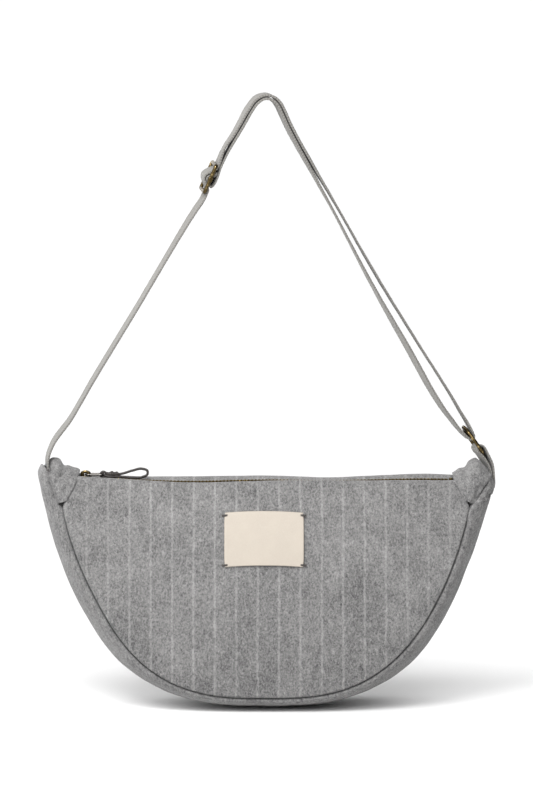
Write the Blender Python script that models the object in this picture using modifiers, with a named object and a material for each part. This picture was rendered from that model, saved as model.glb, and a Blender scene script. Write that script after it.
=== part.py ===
"""Half-moon belt bag of wool felt with a zip, a label and an adjustable webbing strap.

Metres, +Z up, the front faces -Y. The origin is the underside of the strap at its highest
point, where the bag hangs.
"""

import math

import bmesh
import bpy
import numpy as np
from mathutils import Matrix, Vector

# Bag body
BAG_WIDTH = 0.363
BAG_DROP = 0.184
STRAP_DROP = 0.300
FELT = 0.0022
BASE_HALF_DEPTH = 0.043
MOUTH_HALF_DEPTH = 0.0155
MOUTH_SINK = 0.002
MOUTH_PINCH = 0.12
MOUTH_WAVE = 0.0028
PANEL_BULGE = 0.007
DEPTH_CURVE = 0.8
SEAM_INSET = 0.0105
SEAM_LAP = 0.0015
FOOT_LAP = 0.0034
FOLD_RADIUS = 0.0032
FOLD_TURN = math.radians(130)
CLEAR = 0.0004

# Outline of the half moon: each side leans in by the taper, and the powers set how square it is
OUTLINE_TAPER = 0.21
OUTLINE_DOWN_POWER = 2.8
OUTLINE_ACROSS_POWER = 2.915

# End tabs over the zip's ends
TAB_REACH = 0.0325
TAB_RISE = 0.016
TAB_HUMP = 0.0096
TAB_PUFF = 0.0016
TAB_FOOT_DROP = 0.019
SLIT_RISE = 0.0048

# Zip
CHAIN_WIDTH = 0.0056
CHAIN_THICKNESS = 0.002
CHAIN_NOTCH = 0.0007
TOOTH_PITCH = 0.005
CHAIN_SINK = 0.0026
TAPE_THICKNESS = 0.0008
ZIP_SLIDER_LENGTH = 0.0098
ZIP_SLIDER_WIDTH = 0.009
ZIP_SLIDER_PLATE = 0.001
BRIDGE_WIRE = 0.0016
BRIDGE_LENGTH = 0.0064
BRIDGE_POST_SHARE = 0.55
END_STOP_LENGTH = 0.003

# Pull on the zip
PULL_WIRE = 0.0013
PULL_WIRE_LENGTH = 0.0142
PULL_WIRE_WIDTH = 0.007
PULL_WIRE_CORNER = 0.0021
THONG = 0.002
KNOT_LENGTH = 0.0118
KNOT_HEIGHT = 0.0054
THONG_LOOP_LENGTH = 0.0225
THONG_LOOP_RISE = 0.0042

# Label
LABEL_WIDTH = 0.064
LABEL_HEIGHT = 0.043
LABEL_THICKNESS = 0.0012
LABEL_DROP = 0.0445
LABEL_BOW = 0.0013

# Webbing, the three-bar slider and the ring
WEBBING_WIDTH = 0.024
WEBBING = 0.0016
STRAND_GAP = 0.0017
STRAND_SPREAD = 0.0052
STRAP_TURN = math.radians(8)
STRAP_SLIDER_LENGTH = 0.025
STRAP_SLIDER_WIRE = 0.0024
STRAP_SLIDER_CORNER = 0.0018
STRAP_SLIDER_SIDE_GAP = 0.0006
RING_INNER = 0.0258
RING_WIRE = 0.0028
RING_TAB_SPREAD = 0.0030

# Sections and points of the lofted pieces
PANEL_COLUMNS = 27
PANEL_ROWS = 9
FOLD_ROWS = 5
TAB_AROUND = 19
TAB_ACROSS = 10
GUSSET_SECTIONS = 33
GUSSET_POINTS = 10
TAPE_SECTIONS = 25
LABEL_COLUMNS = 9
LABEL_ROWS = 6
WEBBING_STEP = 0.02

SHOULDER_Z = -STRAP_DROP
MOUTH_Z = SHOULDER_Z - MOUTH_SINK
HALF_WIDTH = BAG_WIDTH / 2
ZIP_HALF = HALF_WIDTH - TAB_REACH
SEAM_HALF_WIDTH = HALF_WIDTH - SEAM_INSET
SEAM_DROP = BAG_DROP - SEAM_INSET
STRAND_OFFSET = (WEBBING + STRAND_GAP) / 2
APEX_Z = STRAND_OFFSET + WEBBING / 2

# Rise of the mouth's folded edge, as shares of the zip's half length and of the mouth's wave
FRONT_WAVE = (
    # across, rise
    (-1.00, 1.15),
    (-0.69, 0.25),
    (-0.36, -0.54),
    (-0.07, -0.07),
    (0.18, 0.15),
    (0.60, 0.00),
    (1.00, 0.15),
)
BACK_WAVE = (
    # across, rise
    (-1.00, 0.90),
    (-0.62, 0.00),
    (0.00, 0.25),
    (0.34, -0.35),
    (0.54, 0.25),
    (0.85, 0.80),
    (1.00, 0.50),
)

# End tab borders: shares of the tab's reach inwards, of its rise upwards or its foot's drop
# downwards, and of the mouth's half depth outwards
LEFT_TAB_INNER = (
    # place, inward, up, out
    ("crown", 1.00, 0.33, 0.00),
    ("brow", 0.99, 0.20, 0.52),
    ("side", 0.95, -0.104, 0.90),
    ("foot", 0.71, -0.922, 1.20),
)
LEFT_TAB_OUTER = (
    # place, inward, up, out
    ("crown", 0.262, 0.36, 0.00),
    ("brow", 0.27, 0.26, 0.50),
    ("side", 0.35, -0.087, 0.90),
    ("foot", 0.575, -1.00, 1.22),
)
RIGHT_TAB_INNER = (
    # place, inward, up, out
    ("crown", 1.00, 0.18, 0.00),
    ("brow", 0.99, 0.10, 0.52),
    ("side", 0.95, -0.139, 0.90),
    ("foot", 0.71, -0.922, 1.20),
)
RIGHT_TAB_OUTER = (
    # place, inward, up, out
    ("crown", 0.160, 0.20, 0.00),
    ("brow", 0.17, 0.12, 0.50),
    ("side", 0.28, -0.157, 0.90),
    ("foot", 0.575, -1.00, 1.22),
)

# Humps of each end tab's ridge: share of the way out, share of the hump's height
LEFT_HUMPS = (
    # outward, rise
    (0.00, 0.00),
    (0.33, 0.36),
    (0.50, 0.42),
    (0.80, 1.00),
    (0.93, 0.85),
    (1.00, 0.10),
)
RIGHT_HUMPS = (
    # outward, rise
    (0.00, 0.00),
    (0.16, 0.25),
    (0.31, 0.36),
    (0.58, 1.08),
    (0.70, 1.12),
    (0.86, 0.50),
    (1.00, 0.00),
)

# Top ends of the gusset: seam and ridge, in the same shares as the end tabs
LEFT_GUSSET_END = (
    # place, seam inward, seam up, seam out, ridge inward, ridge up
    ("slit", 0.175, 0.10, 0.84, 0.150, 0.36),
    ("corner", 0.190, -0.104, 0.90, 0.095, 0.58),
    ("shoulder", 0.245, -0.365, 0.95, 0.015, 0.30),
    ("side", 0.350, -0.678, 1.00, 0.000, 0.00),
)
RIGHT_GUSSET_END = (
    # place, seam inward, seam up, seam out, ridge inward, ridge up
    ("slit", 0.100, -0.157, 0.90, 0.060, 0.05),
    ("corner", 0.120, -0.278, 0.94, 0.020, 0.07),
    ("shoulder", 0.200, -0.452, 0.97, 0.000, -0.035),
    ("side", 0.330, -0.696, 1.00, 0.000, -0.217),
)
GUSSET_SEAM_START = 0.125
GUSSET_RIDGE_START = 0.045

# Middle line of the strap: shares of the bag's half width and of the strap's drop
STRAP_ROUTE = (
    # place, across, down, spread
    ("root", -0.960, 0.996, 0.0),
    ("above the tab", -0.959, 0.962, 0.0),
    ("bend", -0.938, 0.924, 0.0),
    ("lower left", -0.859, 0.856, 0.0),
    ("left", -0.762, 0.755, 0.0),
    ("middle left", -0.548, 0.541, 0.0),
    ("upper left", -0.442, 0.432, 0.0),
    ("below slider", -0.309, 0.297, 0.0),
    ("slider", -0.2505, 0.2128, 0.0),
    ("above slider", -0.204, 0.152, 0.0),
    ("left of top", -0.140, 0.106, 0.0),
    ("left side", -0.1086, 0.0729, 0.0),
    ("left shoulder", -0.0715, 0.0325, 0.0),
    ("left crown", -0.0394, 0.0085, 0.0),
    ("crown", 0.0, 0.0, 0.0),
    ("right crown", 0.0405, 0.0105, 0.0),
    ("right shoulder", 0.0657, 0.0370, 0.0),
    ("right of top", 0.0937, 0.0729, 0.0),
    ("upper right", 0.189, 0.178, 0.05),
    ("parting", 0.289, 0.284, 0.10),
    ("middle right", 0.4713, 0.485, 0.45),
    ("right", 0.6303, 0.648, 0.75),
    ("lower right", 0.818, 0.835, 0.95),
    ("ring", 0.9107, 0.9164, 0.0),
)
# Webbing at the three-bar slider. Along is a share of the slider's reach from its middle bar,
# the others are shares of the layers' distances from its plane and of the clearance
SLIDER_ENTRY = (
    # along, beside
    (-2.4, -0.2),
    (-1.7, -0.8),
)
SLIDER_EXIT = (
    # along, beside
    (1.7, -0.7),
    (2.4, 0.1),
)
SLIDER_WEAVE_REACH = 1.2
SEWN_END = (
    # along, inner, beside, clear
    (2.20, -0.87, 0.00, 0.0),
    (1.50, -1.00, 0.00, 0.0),
    (1.00, -1.00, 0.00, 0.0),
    (0.40, -1.00, 0.00, -1.0),
    (-0.10, -1.00, 0.00, -1.0),
    (-0.42, -1.00, 0.00, 1.0),
    (-0.54, -0.72, 0.00, 0.0),
    (-0.48, -0.44, 0.00, 0.0),
    (-0.30, -0.10, 0.00, 0.0),
    (-0.20, 0.00, 0.55, 0.0),
    (0.00, 0.00, 1.00, 0.0),
    (0.17, 0.00, 0.55, 0.0),
    (0.22, 0.00, -0.30, 0.0),
    (0.30, 0.00, -0.95, 0.0),
    (0.44, 0.00, -1.00, -1.0),
    (0.58, 0.00, -1.00, -1.0),
)
RING_TAB_ROUTE = (
    # place, across, down, spread
    ("ring", 0.9107, 0.9164, 0.0),
    ("below ring", 0.950, 0.950, 1.0),
    ("bend", 0.974, 0.979, 0.45),
    ("root", 0.984, 0.997, 0.0),
)

# Leather loop of the pull: shares of its length, half its rise and the thong's thickness
THONG_LOOP = (
    # along, up, forward
    (-0.20, 0.00, 0.0),
    (0.05, 0.10, 0.0),
    (0.42, 0.66, -0.3),
    (0.80, 1.00, -0.6),
    (0.97, 0.62, -0.4),
    (0.97, 0.02, 0.0),
    (0.80, -0.50, 0.4),
    (0.40, -0.62, 0.6),
    (0.05, -0.45, 0.3),
    (-0.20, -0.20, 0.0),
)

# Colours
FELT_GREY = (0.30, 0.295, 0.295)
PANEL_GREY = (0.31, 0.305, 0.30)
WEBBING_GREY = (0.50, 0.49, 0.46)
TAPE_GREY = (0.24, 0.235, 0.235)
BRASS = (0.36, 0.26, 0.10)
STEEL = (0.42, 0.40, 0.37)
LEATHER = (0.07, 0.062, 0.055)
CREAM = (0.80, 0.72, 0.61)


def clear_scene():
    for item in list(bpy.data.objects):
        bpy.data.objects.remove(item)


def collection(name):
    group = bpy.data.collections.new(name)
    bpy.context.scene.collection.children.link(group)
    return group


def finish(item, colour, roughness=0.9, metallic=0.0):
    """Its own material, smooth faces and sharp creases for one object."""
    material = bpy.data.materials.new(item.name)
    material.use_nodes = True
    shader = material.node_tree.nodes["Principled BSDF"]
    shader.inputs["Base Color"].default_value = (*colour, 1.0)
    shader.inputs["Roughness"].default_value = roughness
    shader.inputs["Metallic"].default_value = metallic
    item.data.materials.clear()
    item.data.materials.append(material)
    item.data.shade_smooth()
    item.data.set_sharp_from_angle(angle=math.radians(40))
    return item


def move_to(item, group):
    for owner in list(item.users_collection):
        owner.objects.unlink(item)
    group.objects.link(item)


def smooth_values(marks, values, at):
    """Values read from a smooth curve that passes through each row at its mark."""
    marks = np.asarray(marks, float)
    values = np.asarray(values, float)
    at = np.asarray(at, float)
    slopes = np.gradient(values, marks, axis=0)
    span = np.clip(np.searchsorted(marks, at, side="right") - 1, 0, len(marks) - 2)
    width = marks[span + 1] - marks[span]
    share = (at - marks[span]) / width
    if values.ndim > 1:
        width = width[..., None]
        share = share[..., None]
    square = share * share
    cube = square * share
    return (
        (2 * cube - 3 * square + 1) * values[span]
        + (cube - 2 * square + share) * width * slopes[span]
        + (3 * square - 2 * cube) * values[span + 1]
        + (cube - square) * width * slopes[span + 1]
    )


def lengths_along(points):
    steps = np.linalg.norm(np.diff(points, axis=0), axis=1)
    return np.concatenate([[0.0], np.cumsum(steps)])


def evenly_spaced(points, count):
    """The same line with count points at equal distances along it."""
    points = np.asarray(points, float)
    marks = lengths_along(points)
    at = np.linspace(0.0, marks[-1], count)
    return np.stack([np.interp(at, marks, column) for column in points.T], axis=1)


def surface(name, rows, group, thickness=FELT, offset=-1.0):
    """Sheet lofted through rows of points, given its wall by Solidify."""
    mesh = bpy.data.meshes.new(name)
    shape = bmesh.new()
    grid = [[shape.verts.new(point) for point in row] for row in rows]
    for row, following in zip(grid, grid[1:]):
        for i in range(len(row) - 1):
            shape.faces.new((row[i], row[i + 1], following[i + 1], following[i]))
    shape.to_mesh(mesh)
    shape.free()
    item = bpy.data.objects.new(name, mesh)
    group.objects.link(item)
    wall = item.modifiers.new("Wall", "SOLIDIFY")
    wall.thickness = thickness
    wall.offset = offset
    return item


def tube(name, points, radius, group, closed=False, sides=2):
    """Round bar along a list of points, as a mesh."""
    curve = bpy.data.curves.new(name, "CURVE")
    curve.dimensions = "3D"
    curve.bevel_depth = radius
    curve.bevel_resolution = sides
    curve.use_fill_caps = not closed
    spline = curve.splines.new("POLY")
    spline.points.add(len(points) - 1)
    for knot, point in zip(spline.points, points):
        knot.co = (*point, 1.0)
    spline.use_cyclic_u = closed
    guide = bpy.data.objects.new(name, curve)
    group.objects.link(guide)
    bpy.context.view_layer.update()
    graph = bpy.context.evaluated_depsgraph_get()
    mesh = bpy.data.meshes.new_from_object(guide.evaluated_get(graph))
    bpy.data.objects.remove(guide)
    shape = bmesh.new()
    shape.from_mesh(mesh)
    bmesh.ops.remove_doubles(shape, verts=shape.verts, dist=0.00001)
    shape.to_mesh(mesh)
    shape.free()
    item = bpy.data.objects.new(name, mesh)
    group.objects.link(item)
    return item


def box(name, centre, size, group):
    mesh = bpy.data.meshes.new(name)
    shape = bmesh.new()
    bmesh.ops.create_cube(shape, size=1.0)
    bmesh.ops.scale(shape, vec=size, verts=shape.verts)
    shape.to_mesh(mesh)
    shape.free()
    item = bpy.data.objects.new(name, mesh)
    item.location = centre
    group.objects.link(item)
    return item


def combine(item, other, operation):
    """Cuts the other shape from an item, or joins it on, and keeps the other as a hidden guide."""
    other.hide_render = True
    other.display_type = "WIRE"
    change = item.modifiers.new(operation.title(), "BOOLEAN")
    change.operation = operation
    change.solver = "EXACT"
    change.object = other


def half_width_at(drop_share, half_width):
    """Half width of the half moon at a share of its drop."""
    share = np.clip(drop_share, 0.0, 1.0)
    lean = 1.0 - OUTLINE_TAPER * share
    return half_width * lean * (1.0 - share**OUTLINE_DOWN_POWER) ** (1 / OUTLINE_ACROSS_POWER)


def outline(half_width, drop, start_share, count):
    """Points (x, z) of the half moon's edge from the left to the right, evenly spaced."""
    angles = np.linspace(math.asin(start_share**(OUTLINE_DOWN_POWER / 2)), math.pi / 2, 200)
    shares = np.sin(angles) ** (2 / OUTLINE_DOWN_POWER)
    left = np.stack(
        [-half_width_at(shares, half_width), SHOULDER_Z - drop * shares], axis=1
    )
    right = left[-2::-1] * (-1.0, 1.0)
    return evenly_spaced(np.concatenate([left, right]), count)


def mouth_half_depth(x):
    return MOUTH_HALF_DEPTH * (1.0 - MOUTH_PINCH * (x / ZIP_HALF) ** 2)


def half_depth(x, z):
    """Half the bag's depth at a point of the panels."""
    drop_share = np.clip((SHOULDER_Z - z) / SEAM_DROP, 0.0, 1.0)
    share = np.clip((MOUTH_Z - z) / (SEAM_DROP - MOUTH_SINK), 0.0, 1.0)
    edge = np.maximum(half_width_at(drop_share, SEAM_HALF_WIDTH), abs(x) + 1e-9)
    mouth = mouth_half_depth(np.clip(x, -ZIP_HALF, ZIP_HALF))
    middle = 1.0 - (x / edge) ** 2
    return (
        mouth
        + (BASE_HALF_DEPTH - mouth) * share**DEPTH_CURVE
        + PANEL_BULGE * middle * math.sin(math.pi * share)
    )


def mouth_edge(x, wave):
    """Height of a panel's folded top edge."""
    marks, rises = zip(*wave)
    at = np.clip(x / ZIP_HALF, -1.0, 1.0)
    return MOUTH_Z + MOUTH_WAVE * float(smooth_values(marks, rises, at))


def panel(name, side, wave, group):
    """Half-moon panel with its top edge folded in. Side is -1 for the front and 1 for the back."""
    fold_angles = np.linspace(FOLD_TURN, 0.0, FOLD_ROWS)
    drop_shares = np.linspace(0.0, 1.0, PANEL_ROWS)[1:]
    start = (TAB_FOOT_DROP + FOOT_LAP + SEAM_LAP) / SEAM_DROP
    seam = list(outline(SEAM_HALF_WIDTH, SEAM_DROP, start, PANEL_COLUMNS - 2))
    for end, foot in ((-1, LEFT_TAB_INNER[-1]), (1, RIGHT_TAB_INNER[-1])):
        x, _, z = border_point(end, *foot[1:])
        corner = (x - end * SEAM_LAP, z - FOOT_LAP)
        seam = [corner] + seam if end < 0 else seam + [corner]
    tops = np.linspace(-(ZIP_HALF - CLEAR), ZIP_HALF - CLEAR, PANEL_COLUMNS)
    rows = []
    for x_top, (x_seam, z_seam) in zip(tops, seam):
        z_edge = mouth_edge(x_top, wave) - FOLD_RADIUS
        depth = half_depth(x_top, z_edge)
        row = []
        for angle in fold_angles:
            out = depth - FOLD_RADIUS + FOLD_RADIUS * math.cos(angle)
            row.append((x_top, side * out, z_edge + FOLD_RADIUS * math.sin(angle)))
        for share in drop_shares:
            x = x_top + (x_seam - x_top) * share
            z = z_edge + (z_seam - z_edge) * share
            row.append((x, side * half_depth(x, z), z))
        rows.append(row if side < 0 else row[::-1])
    return finish(surface(name, rows, group), PANEL_GREY)


def turned(point):
    """Turns the slits for the webbing with the webbing, fading out down to the tabs' feet."""
    x, y, z = point
    foot = SHOULDER_Z - TAB_FOOT_DROP
    weight = min(max((z - foot) / (TAB_FOOT_DROP + SLIT_RISE), 0.0), 1.0)
    return (x - math.tan(STRAP_TURN) * y * weight, y, z)


def border_point(side, inward, up, out):
    """A point given as shares of the end tab's reach and rise and the mouth's half depth."""
    rise = TAB_RISE if up > 0 else TAB_FOOT_DROP
    return (
        side * (HALF_WIDTH - inward * TAB_REACH),
        out * MOUTH_HALF_DEPTH,
        SHOULDER_Z + up * rise,
    )


def tab_border(side, rows, at):
    """Border of an end tab from its crown (0) down to its foot (1)."""
    points = [border_point(side, *row[1:]) for row in rows]
    marks = lengths_along(np.array(points))
    return smooth_values(marks / marks[-1], points, at)


def end_tab(name, side, inner_rows, outer_rows, humps, group):
    """Felt tab folded over one end of the zip, from the front seam to the back seam."""
    around = np.linspace(-1.0, 1.0, TAB_AROUND)
    across = np.linspace(0.0, 1.0, TAB_ACROSS)
    inner = tab_border(side, inner_rows, abs(around))
    outer = tab_border(side, outer_rows, abs(around))
    marks, rises = zip(*humps)
    ridge = TAB_HUMP * smooth_values(marks, rises, across)
    rows = []
    for share, rise in zip(across, ridge):
        row = []
        for at, low, high in zip(around, inner, outer):
            x, y, z = low + (high - low) * share
            puff = TAB_PUFF * math.sin(math.pi * share) * math.sin(math.pi * abs(at))
            y = math.copysign(y + puff, at)
            z += rise * (1.0 - at * at) ** 2
            end = turned((x, y, z))
            row.append((x + (end[0] - x) * share, y, z))
        rows.append(row)
    if side > 0:
        rows = rows[::-1]
    return finish(surface(name, rows, group), FELT_GREY)


def gusset_end(side, rows):
    return [
        (
            border_point(side, seam_in, seam_up, seam_out),
            border_point(side, ridge_in, ridge_up, 0.0),
        )
        for _, seam_in, seam_up, seam_out, ridge_in, ridge_up in rows
    ]


def gusset(group):
    """Bulging strip from one slit for the webbing, round the half moon, to the other."""
    tuck = SEAM_INSET + SEAM_LAP
    seam = outline(HALF_WIDTH - tuck, BAG_DROP - tuck, GUSSET_SEAM_START, GUSSET_SECTIONS)
    ridge = outline(HALF_WIDTH, BAG_DROP, GUSSET_RIDGE_START, GUSSET_SECTIONS)
    pairs = gusset_end(-1, LEFT_GUSSET_END)
    for (x, z), (ridge_x, ridge_z) in zip(seam, ridge):
        depth = half_depth(x, z) - FELT - CLEAR
        pairs.append(((x, depth, z), (ridge_x, 0.0, ridge_z)))
    pairs += gusset_end(1, RIGHT_GUSSET_END)[::-1]
    rows = []
    for edge, top in pairs:
        row = []
        for angle in np.linspace(-math.pi / 2, math.pi / 2, GUSSET_POINTS):
            bend = math.cos(angle)
            x = edge[0] + (top[0] - edge[0]) * bend
            z = edge[2] + (top[2] - edge[2]) * bend
            row.append(turned((x, edge[1] * math.sin(angle), z)))
        rows.append(row)
    return finish(surface("gusset", rows, group), FELT_GREY)


def chain_height(x):
    """Height of the middle of the zip's chain."""
    edges = mouth_edge(x, FRONT_WAVE) + mouth_edge(x, BACK_WAVE)
    return edges / 2 - CHAIN_SINK


def zip_tape(name, side, wave, left, group):
    """Half of the zip tape, from under the panel's fold to the chain."""
    rows = []
    for x in np.linspace(left, ZIP_HALF - CLEAR, TAPE_SECTIONS):
        edge_z = mouth_edge(x, wave) - FOLD_RADIUS
        outer = half_depth(x, edge_z) - FOLD_RADIUS - CLEAR
        inner = CHAIN_WIDTH / 2 + CLEAR
        low = chain_height(x)
        row = [
            (x, side * outer, edge_z - TAPE_THICKNESS / 2),
            (x, side * (outer + inner) / 2, (edge_z + low) / 2 - TAPE_THICKNESS / 2),
            (x, side * inner, low),
        ]
        rows.append(row if side < 0 else row[::-1])
    return finish(surface(name, rows, group, TAPE_THICKNESS, 0.0), TAPE_GREY)


def zip_teeth(left, right, group):
    """Closed chain with a notched edge, one notch to each pair of teeth."""
    notches = int((right - left) / TOOTH_PITCH)
    rows = []
    for i, x in enumerate(np.linspace(left, right, 2 * notches + 1)):
        half = CHAIN_WIDTH / 2 - CHAIN_NOTCH * (i % 2)
        z = chain_height(x)
        rows.append([(x, -half, z), (x, half, z)])
    return finish(surface("zip_teeth", rows, group, CHAIN_THICKNESS, 0.0), BRASS, 0.35, 1.0)


def zip_slider(centre, group, guides):
    """Slider that holds the chain between two plates and carries the pull under its bridge."""
    x, y, z = centre
    slot = CHAIN_THICKNESS + 2 * CLEAR
    height = slot + 2 * ZIP_SLIDER_PLATE
    item = box("zip_slider", centre, (ZIP_SLIDER_LENGTH, ZIP_SLIDER_WIDTH, height), group)
    edges = item.modifiers.new("Edges", "BEVEL")
    edges.width = 0.4 * ZIP_SLIDER_PLATE
    edges.segments = 1
    slot_centre = (x + 2 * ZIP_SLIDER_PLATE, y, z)
    slot_size = (ZIP_SLIDER_LENGTH, 2 * ZIP_SLIDER_WIDTH, slot)
    combine(item, box("chain_slot", slot_centre, slot_size, guides), "DIFFERENCE")
    foot = z + height / 2 - ZIP_SLIDER_PLATE / 2
    post = z + height / 2 + BRIDGE_POST_SHARE * bridge_height()
    crown = (1.0 - BRIDGE_POST_SHARE) * bridge_height()
    half = BRIDGE_LENGTH / 2
    arch = [(x - half, y, foot)]
    arch += [
        (x + half * math.cos(angle), y, post + crown * math.sin(angle))
        for angle in np.linspace(math.pi, 0.0, 7)
    ]
    arch += [(x + half, y, foot)]
    combine(item, tube("bridge", arch, BRIDGE_WIRE / 2, guides), "UNION")
    return finish(item, BRASS, 0.35, 1.0)


def bridge_height():
    """Height of the bridge's middle line, which leaves the pull wire its clearance."""
    return PULL_WIRE + 2 * CLEAR + BRIDGE_WIRE / 2 + CLEAR


def pull_height():
    """Height of the pull wire's middle over the middle of the chain."""
    return CHAIN_THICKNESS / 2 + CLEAR + ZIP_SLIDER_PLATE + CLEAR + PULL_WIRE / 2


def rounded_loop(near, far, half, corner):
    """Points of an oblong loop in the XY plane with round corners."""
    points = []
    for x, y, start in (
        (near + corner, corner - half, 180),
        (far - corner, corner - half, 270),
        (far - corner, half - corner, 0),
        (near + corner, half - corner, 90),
    ):
        for turn in (0, 30, 60, 90):
            angle = math.radians(start + turn)
            points.append((x + corner * math.cos(angle), y + corner * math.sin(angle), 0.0))
    return points


def pull_wire(hinge, group):
    """Long wire loop that lies along the zip and swings on the slider's bridge."""
    points = rounded_loop(0.0, PULL_WIRE_LENGTH, PULL_WIRE_WIDTH / 2, PULL_WIRE_CORNER)
    item = tube("pull_wire", points, PULL_WIRE / 2, group, closed=True)
    item.parent = hinge
    return finish(item, STEEL, 0.35, 1.0)


def pull_thong(hinge, group, guides):
    """Leather thong: an eye round the wire's end, a knot and an open loop, all one piece."""
    radius = THONG / 2
    eye = PULL_WIRE / 2 + CLEAR + radius
    knot_x = PULL_WIRE_LENGTH + PULL_WIRE / 2 + 2 * CLEAR + KNOT_LENGTH / 2
    mesh = bpy.data.meshes.new("pull_thong")
    shape = bmesh.new()
    bmesh.ops.create_uvsphere(shape, u_segments=12, v_segments=8, radius=0.5)
    bmesh.ops.rotate(shape, matrix=Matrix.Rotation(math.pi / 2, 3, "Y"), verts=shape.verts)
    bmesh.ops.scale(shape, vec=(KNOT_LENGTH, KNOT_HEIGHT, KNOT_HEIGHT), verts=shape.verts)
    shape.to_mesh(mesh)
    shape.free()
    item = bpy.data.objects.new("pull_thong", mesh)
    item.location = (knot_x, 0.0, 0.0)
    item.parent = hinge
    group.objects.link(item)
    ring = [
        (PULL_WIRE_LENGTH + eye * math.cos(angle), 0.0, eye * math.sin(angle))
        for angle in np.linspace(0.0, 2 * math.pi, 13)[:-1]
    ]
    thong_eye = tube("thong_eye", ring, radius, guides, closed=True)
    thong_eye.parent = hinge
    combine(item, thong_eye, "UNION")
    knots = [
        (
            knot_x + KNOT_LENGTH / 2 + along * THONG_LOOP_LENGTH,
            -forward * THONG,
            up * THONG_LOOP_RISE,
        )
        for along, up, forward in THONG_LOOP
    ]
    marks = lengths_along(np.array(knots))
    route = smooth_values(marks, knots, np.linspace(0.0, marks[-1], 26))
    thong_loop = tube("thong_loop", route, radius, guides)
    thong_loop.parent = hinge
    combine(item, thong_loop, "UNION")
    return finish(item, LEATHER, 0.6)


def label(group):
    """Patch that follows the front panel's surface."""
    rows = []
    for across in np.linspace(-0.5, 0.5, LABEL_COLUMNS):
        row = []
        for up in np.linspace(0.5, -0.5, LABEL_ROWS):
            x = across * LABEL_WIDTH
            bow = LABEL_BOW * (1.0 - 4.0 * across * across)
            z = MOUTH_Z - LABEL_DROP + up * LABEL_HEIGHT + bow
            row.append((x, -half_depth(x, z) - CLEAR - LABEL_THICKNESS, z))
        rows.append(row)
    return finish(surface("label", rows, group, LABEL_THICKNESS), CREAM, 0.7)


def route_line(rows):
    """Middle line of a webbing route with its marks, points and spreads."""
    points = np.array(
        [(across * HALF_WIDTH, 0.0, APEX_Z - down * STRAP_DROP) for _, across, down, _ in rows]
    )
    marks = lengths_along(points)
    return marks, points, np.array([row[3] for row in rows])


def frame_at(line, mark):
    """Point, direction, webbing width direction and outward direction on a middle line."""
    marks, points, _ = line
    step = 0.0005
    low = max(mark - step, 0.0)
    high = min(mark + step, marks[-1])
    point = Vector(smooth_values(marks, points, min(max(mark, 0.0), marks[-1])))
    ends = [Vector(smooth_values(marks, points, at)) for at in (low, high)]
    ahead = (ends[1] - ends[0]).normalized()
    point += ahead * (mark - min(max(mark, 0.0), marks[-1]))
    turn = Vector((-math.sin(STRAP_TURN), math.cos(STRAP_TURN), 0.0))
    wide = (turn - ahead * turn.dot(ahead)).normalized()
    return point, ahead, wide, ahead.cross(wide)


def webbing(name, line, route, group):
    """Flat webbing along a route of (mark, offset) pairs beside a middle line."""
    knots = []
    for mark, offset in route:
        point, _, wide, outward = frame_at(line, mark)
        knots.append((*(point + outward * offset), *wide))
    knots = np.array(knots)
    marks = lengths_along(knots[:, :3])
    at = [0.0]
    for low, high in zip(marks, marks[1:]):
        steps = 2 + int((high - low) / WEBBING_STEP)
        at += list(np.linspace(low, high, steps + 1)[1:])
    rows = []
    for values in smooth_values(marks, knots, at):
        centre = Vector(values[:3])
        wide = Vector(values[3:]).normalized() * (WEBBING_WIDTH / 2)
        rows.append([centre - wide, centre + wide])
    item = surface(name, rows, group, WEBBING, 0.0)
    return finish(item, WEBBING_GREY)


def ring_fold_reach():
    """Distance from the ring's centre to the middle of the webbing folded through it."""
    inner = math.sqrt((RING_INNER / 2) ** 2 - (WEBBING_WIDTH / 2) ** 2)
    return inner - CLEAR - WEBBING / 2


def ring_fold(centre_mark, side):
    """Half turn of webbing round the ring's wire, from its outward face to its inward face.

    Side is 1 where the webbing comes from above and -1 where it comes from below.
    """
    radius = RING_WIRE / 2 + CLEAR + WEBBING / 2
    start = centre_mark - side * (ring_fold_reach() + radius)
    return [
        (start + side * radius * math.sin(angle), radius * math.cos(angle))
        for angle in np.linspace(0.0, math.pi, 7)
    ]


def strap_slider_levels():
    """Distances of the webbing's layers from the plane of the three-bar slider."""
    beside = STRAP_SLIDER_WIRE / 2 + CLEAR + WEBBING / 2
    stacked = beside + WEBBING + CLEAR
    return beside, stacked


def strap_route(line):
    """The strap's single length, from its root to its sewn end on the slider's middle bar."""
    marks, _, spreads = line
    names = [row[0] for row in STRAP_ROUTE]
    middle = marks[names.index("slider")]
    reach = STRAP_SLIDER_LENGTH / 2 - STRAP_SLIDER_WIRE / 2
    beside, stacked = strap_slider_levels()
    offsets = STRAND_OFFSET + spreads * (STRAND_SPREAD - STRAND_OFFSET)
    first = names.index("left of top")
    doubled = list(zip(marks, offsets))[first:-1]
    route = [(mark, 0.0) for mark in marks[: names.index("below slider")]]
    route += [(middle + along * reach, level * beside) for along, level in SLIDER_ENTRY]
    for share in np.linspace(-SLIDER_WEAVE_REACH, SLIDER_WEAVE_REACH, 13):
        wave = (1.0 + math.cos(math.pi * min(abs(share), 1.0))) / 2
        route.append((middle + share * reach, -beside + (beside + stacked) * wave))
    route += [(middle + along * reach, level * beside) for along, level in SLIDER_EXIT]
    route += doubled
    route += ring_fold(marks[-1], 1)
    route += [(mark, -offset) for mark, offset in reversed(doubled)]
    route += [
        (middle + along * reach, inner * (stacked + CLEAR) + level * beside + clear * CLEAR)
        for along, inner, level, clear in SEWN_END
    ]
    return route


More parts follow.
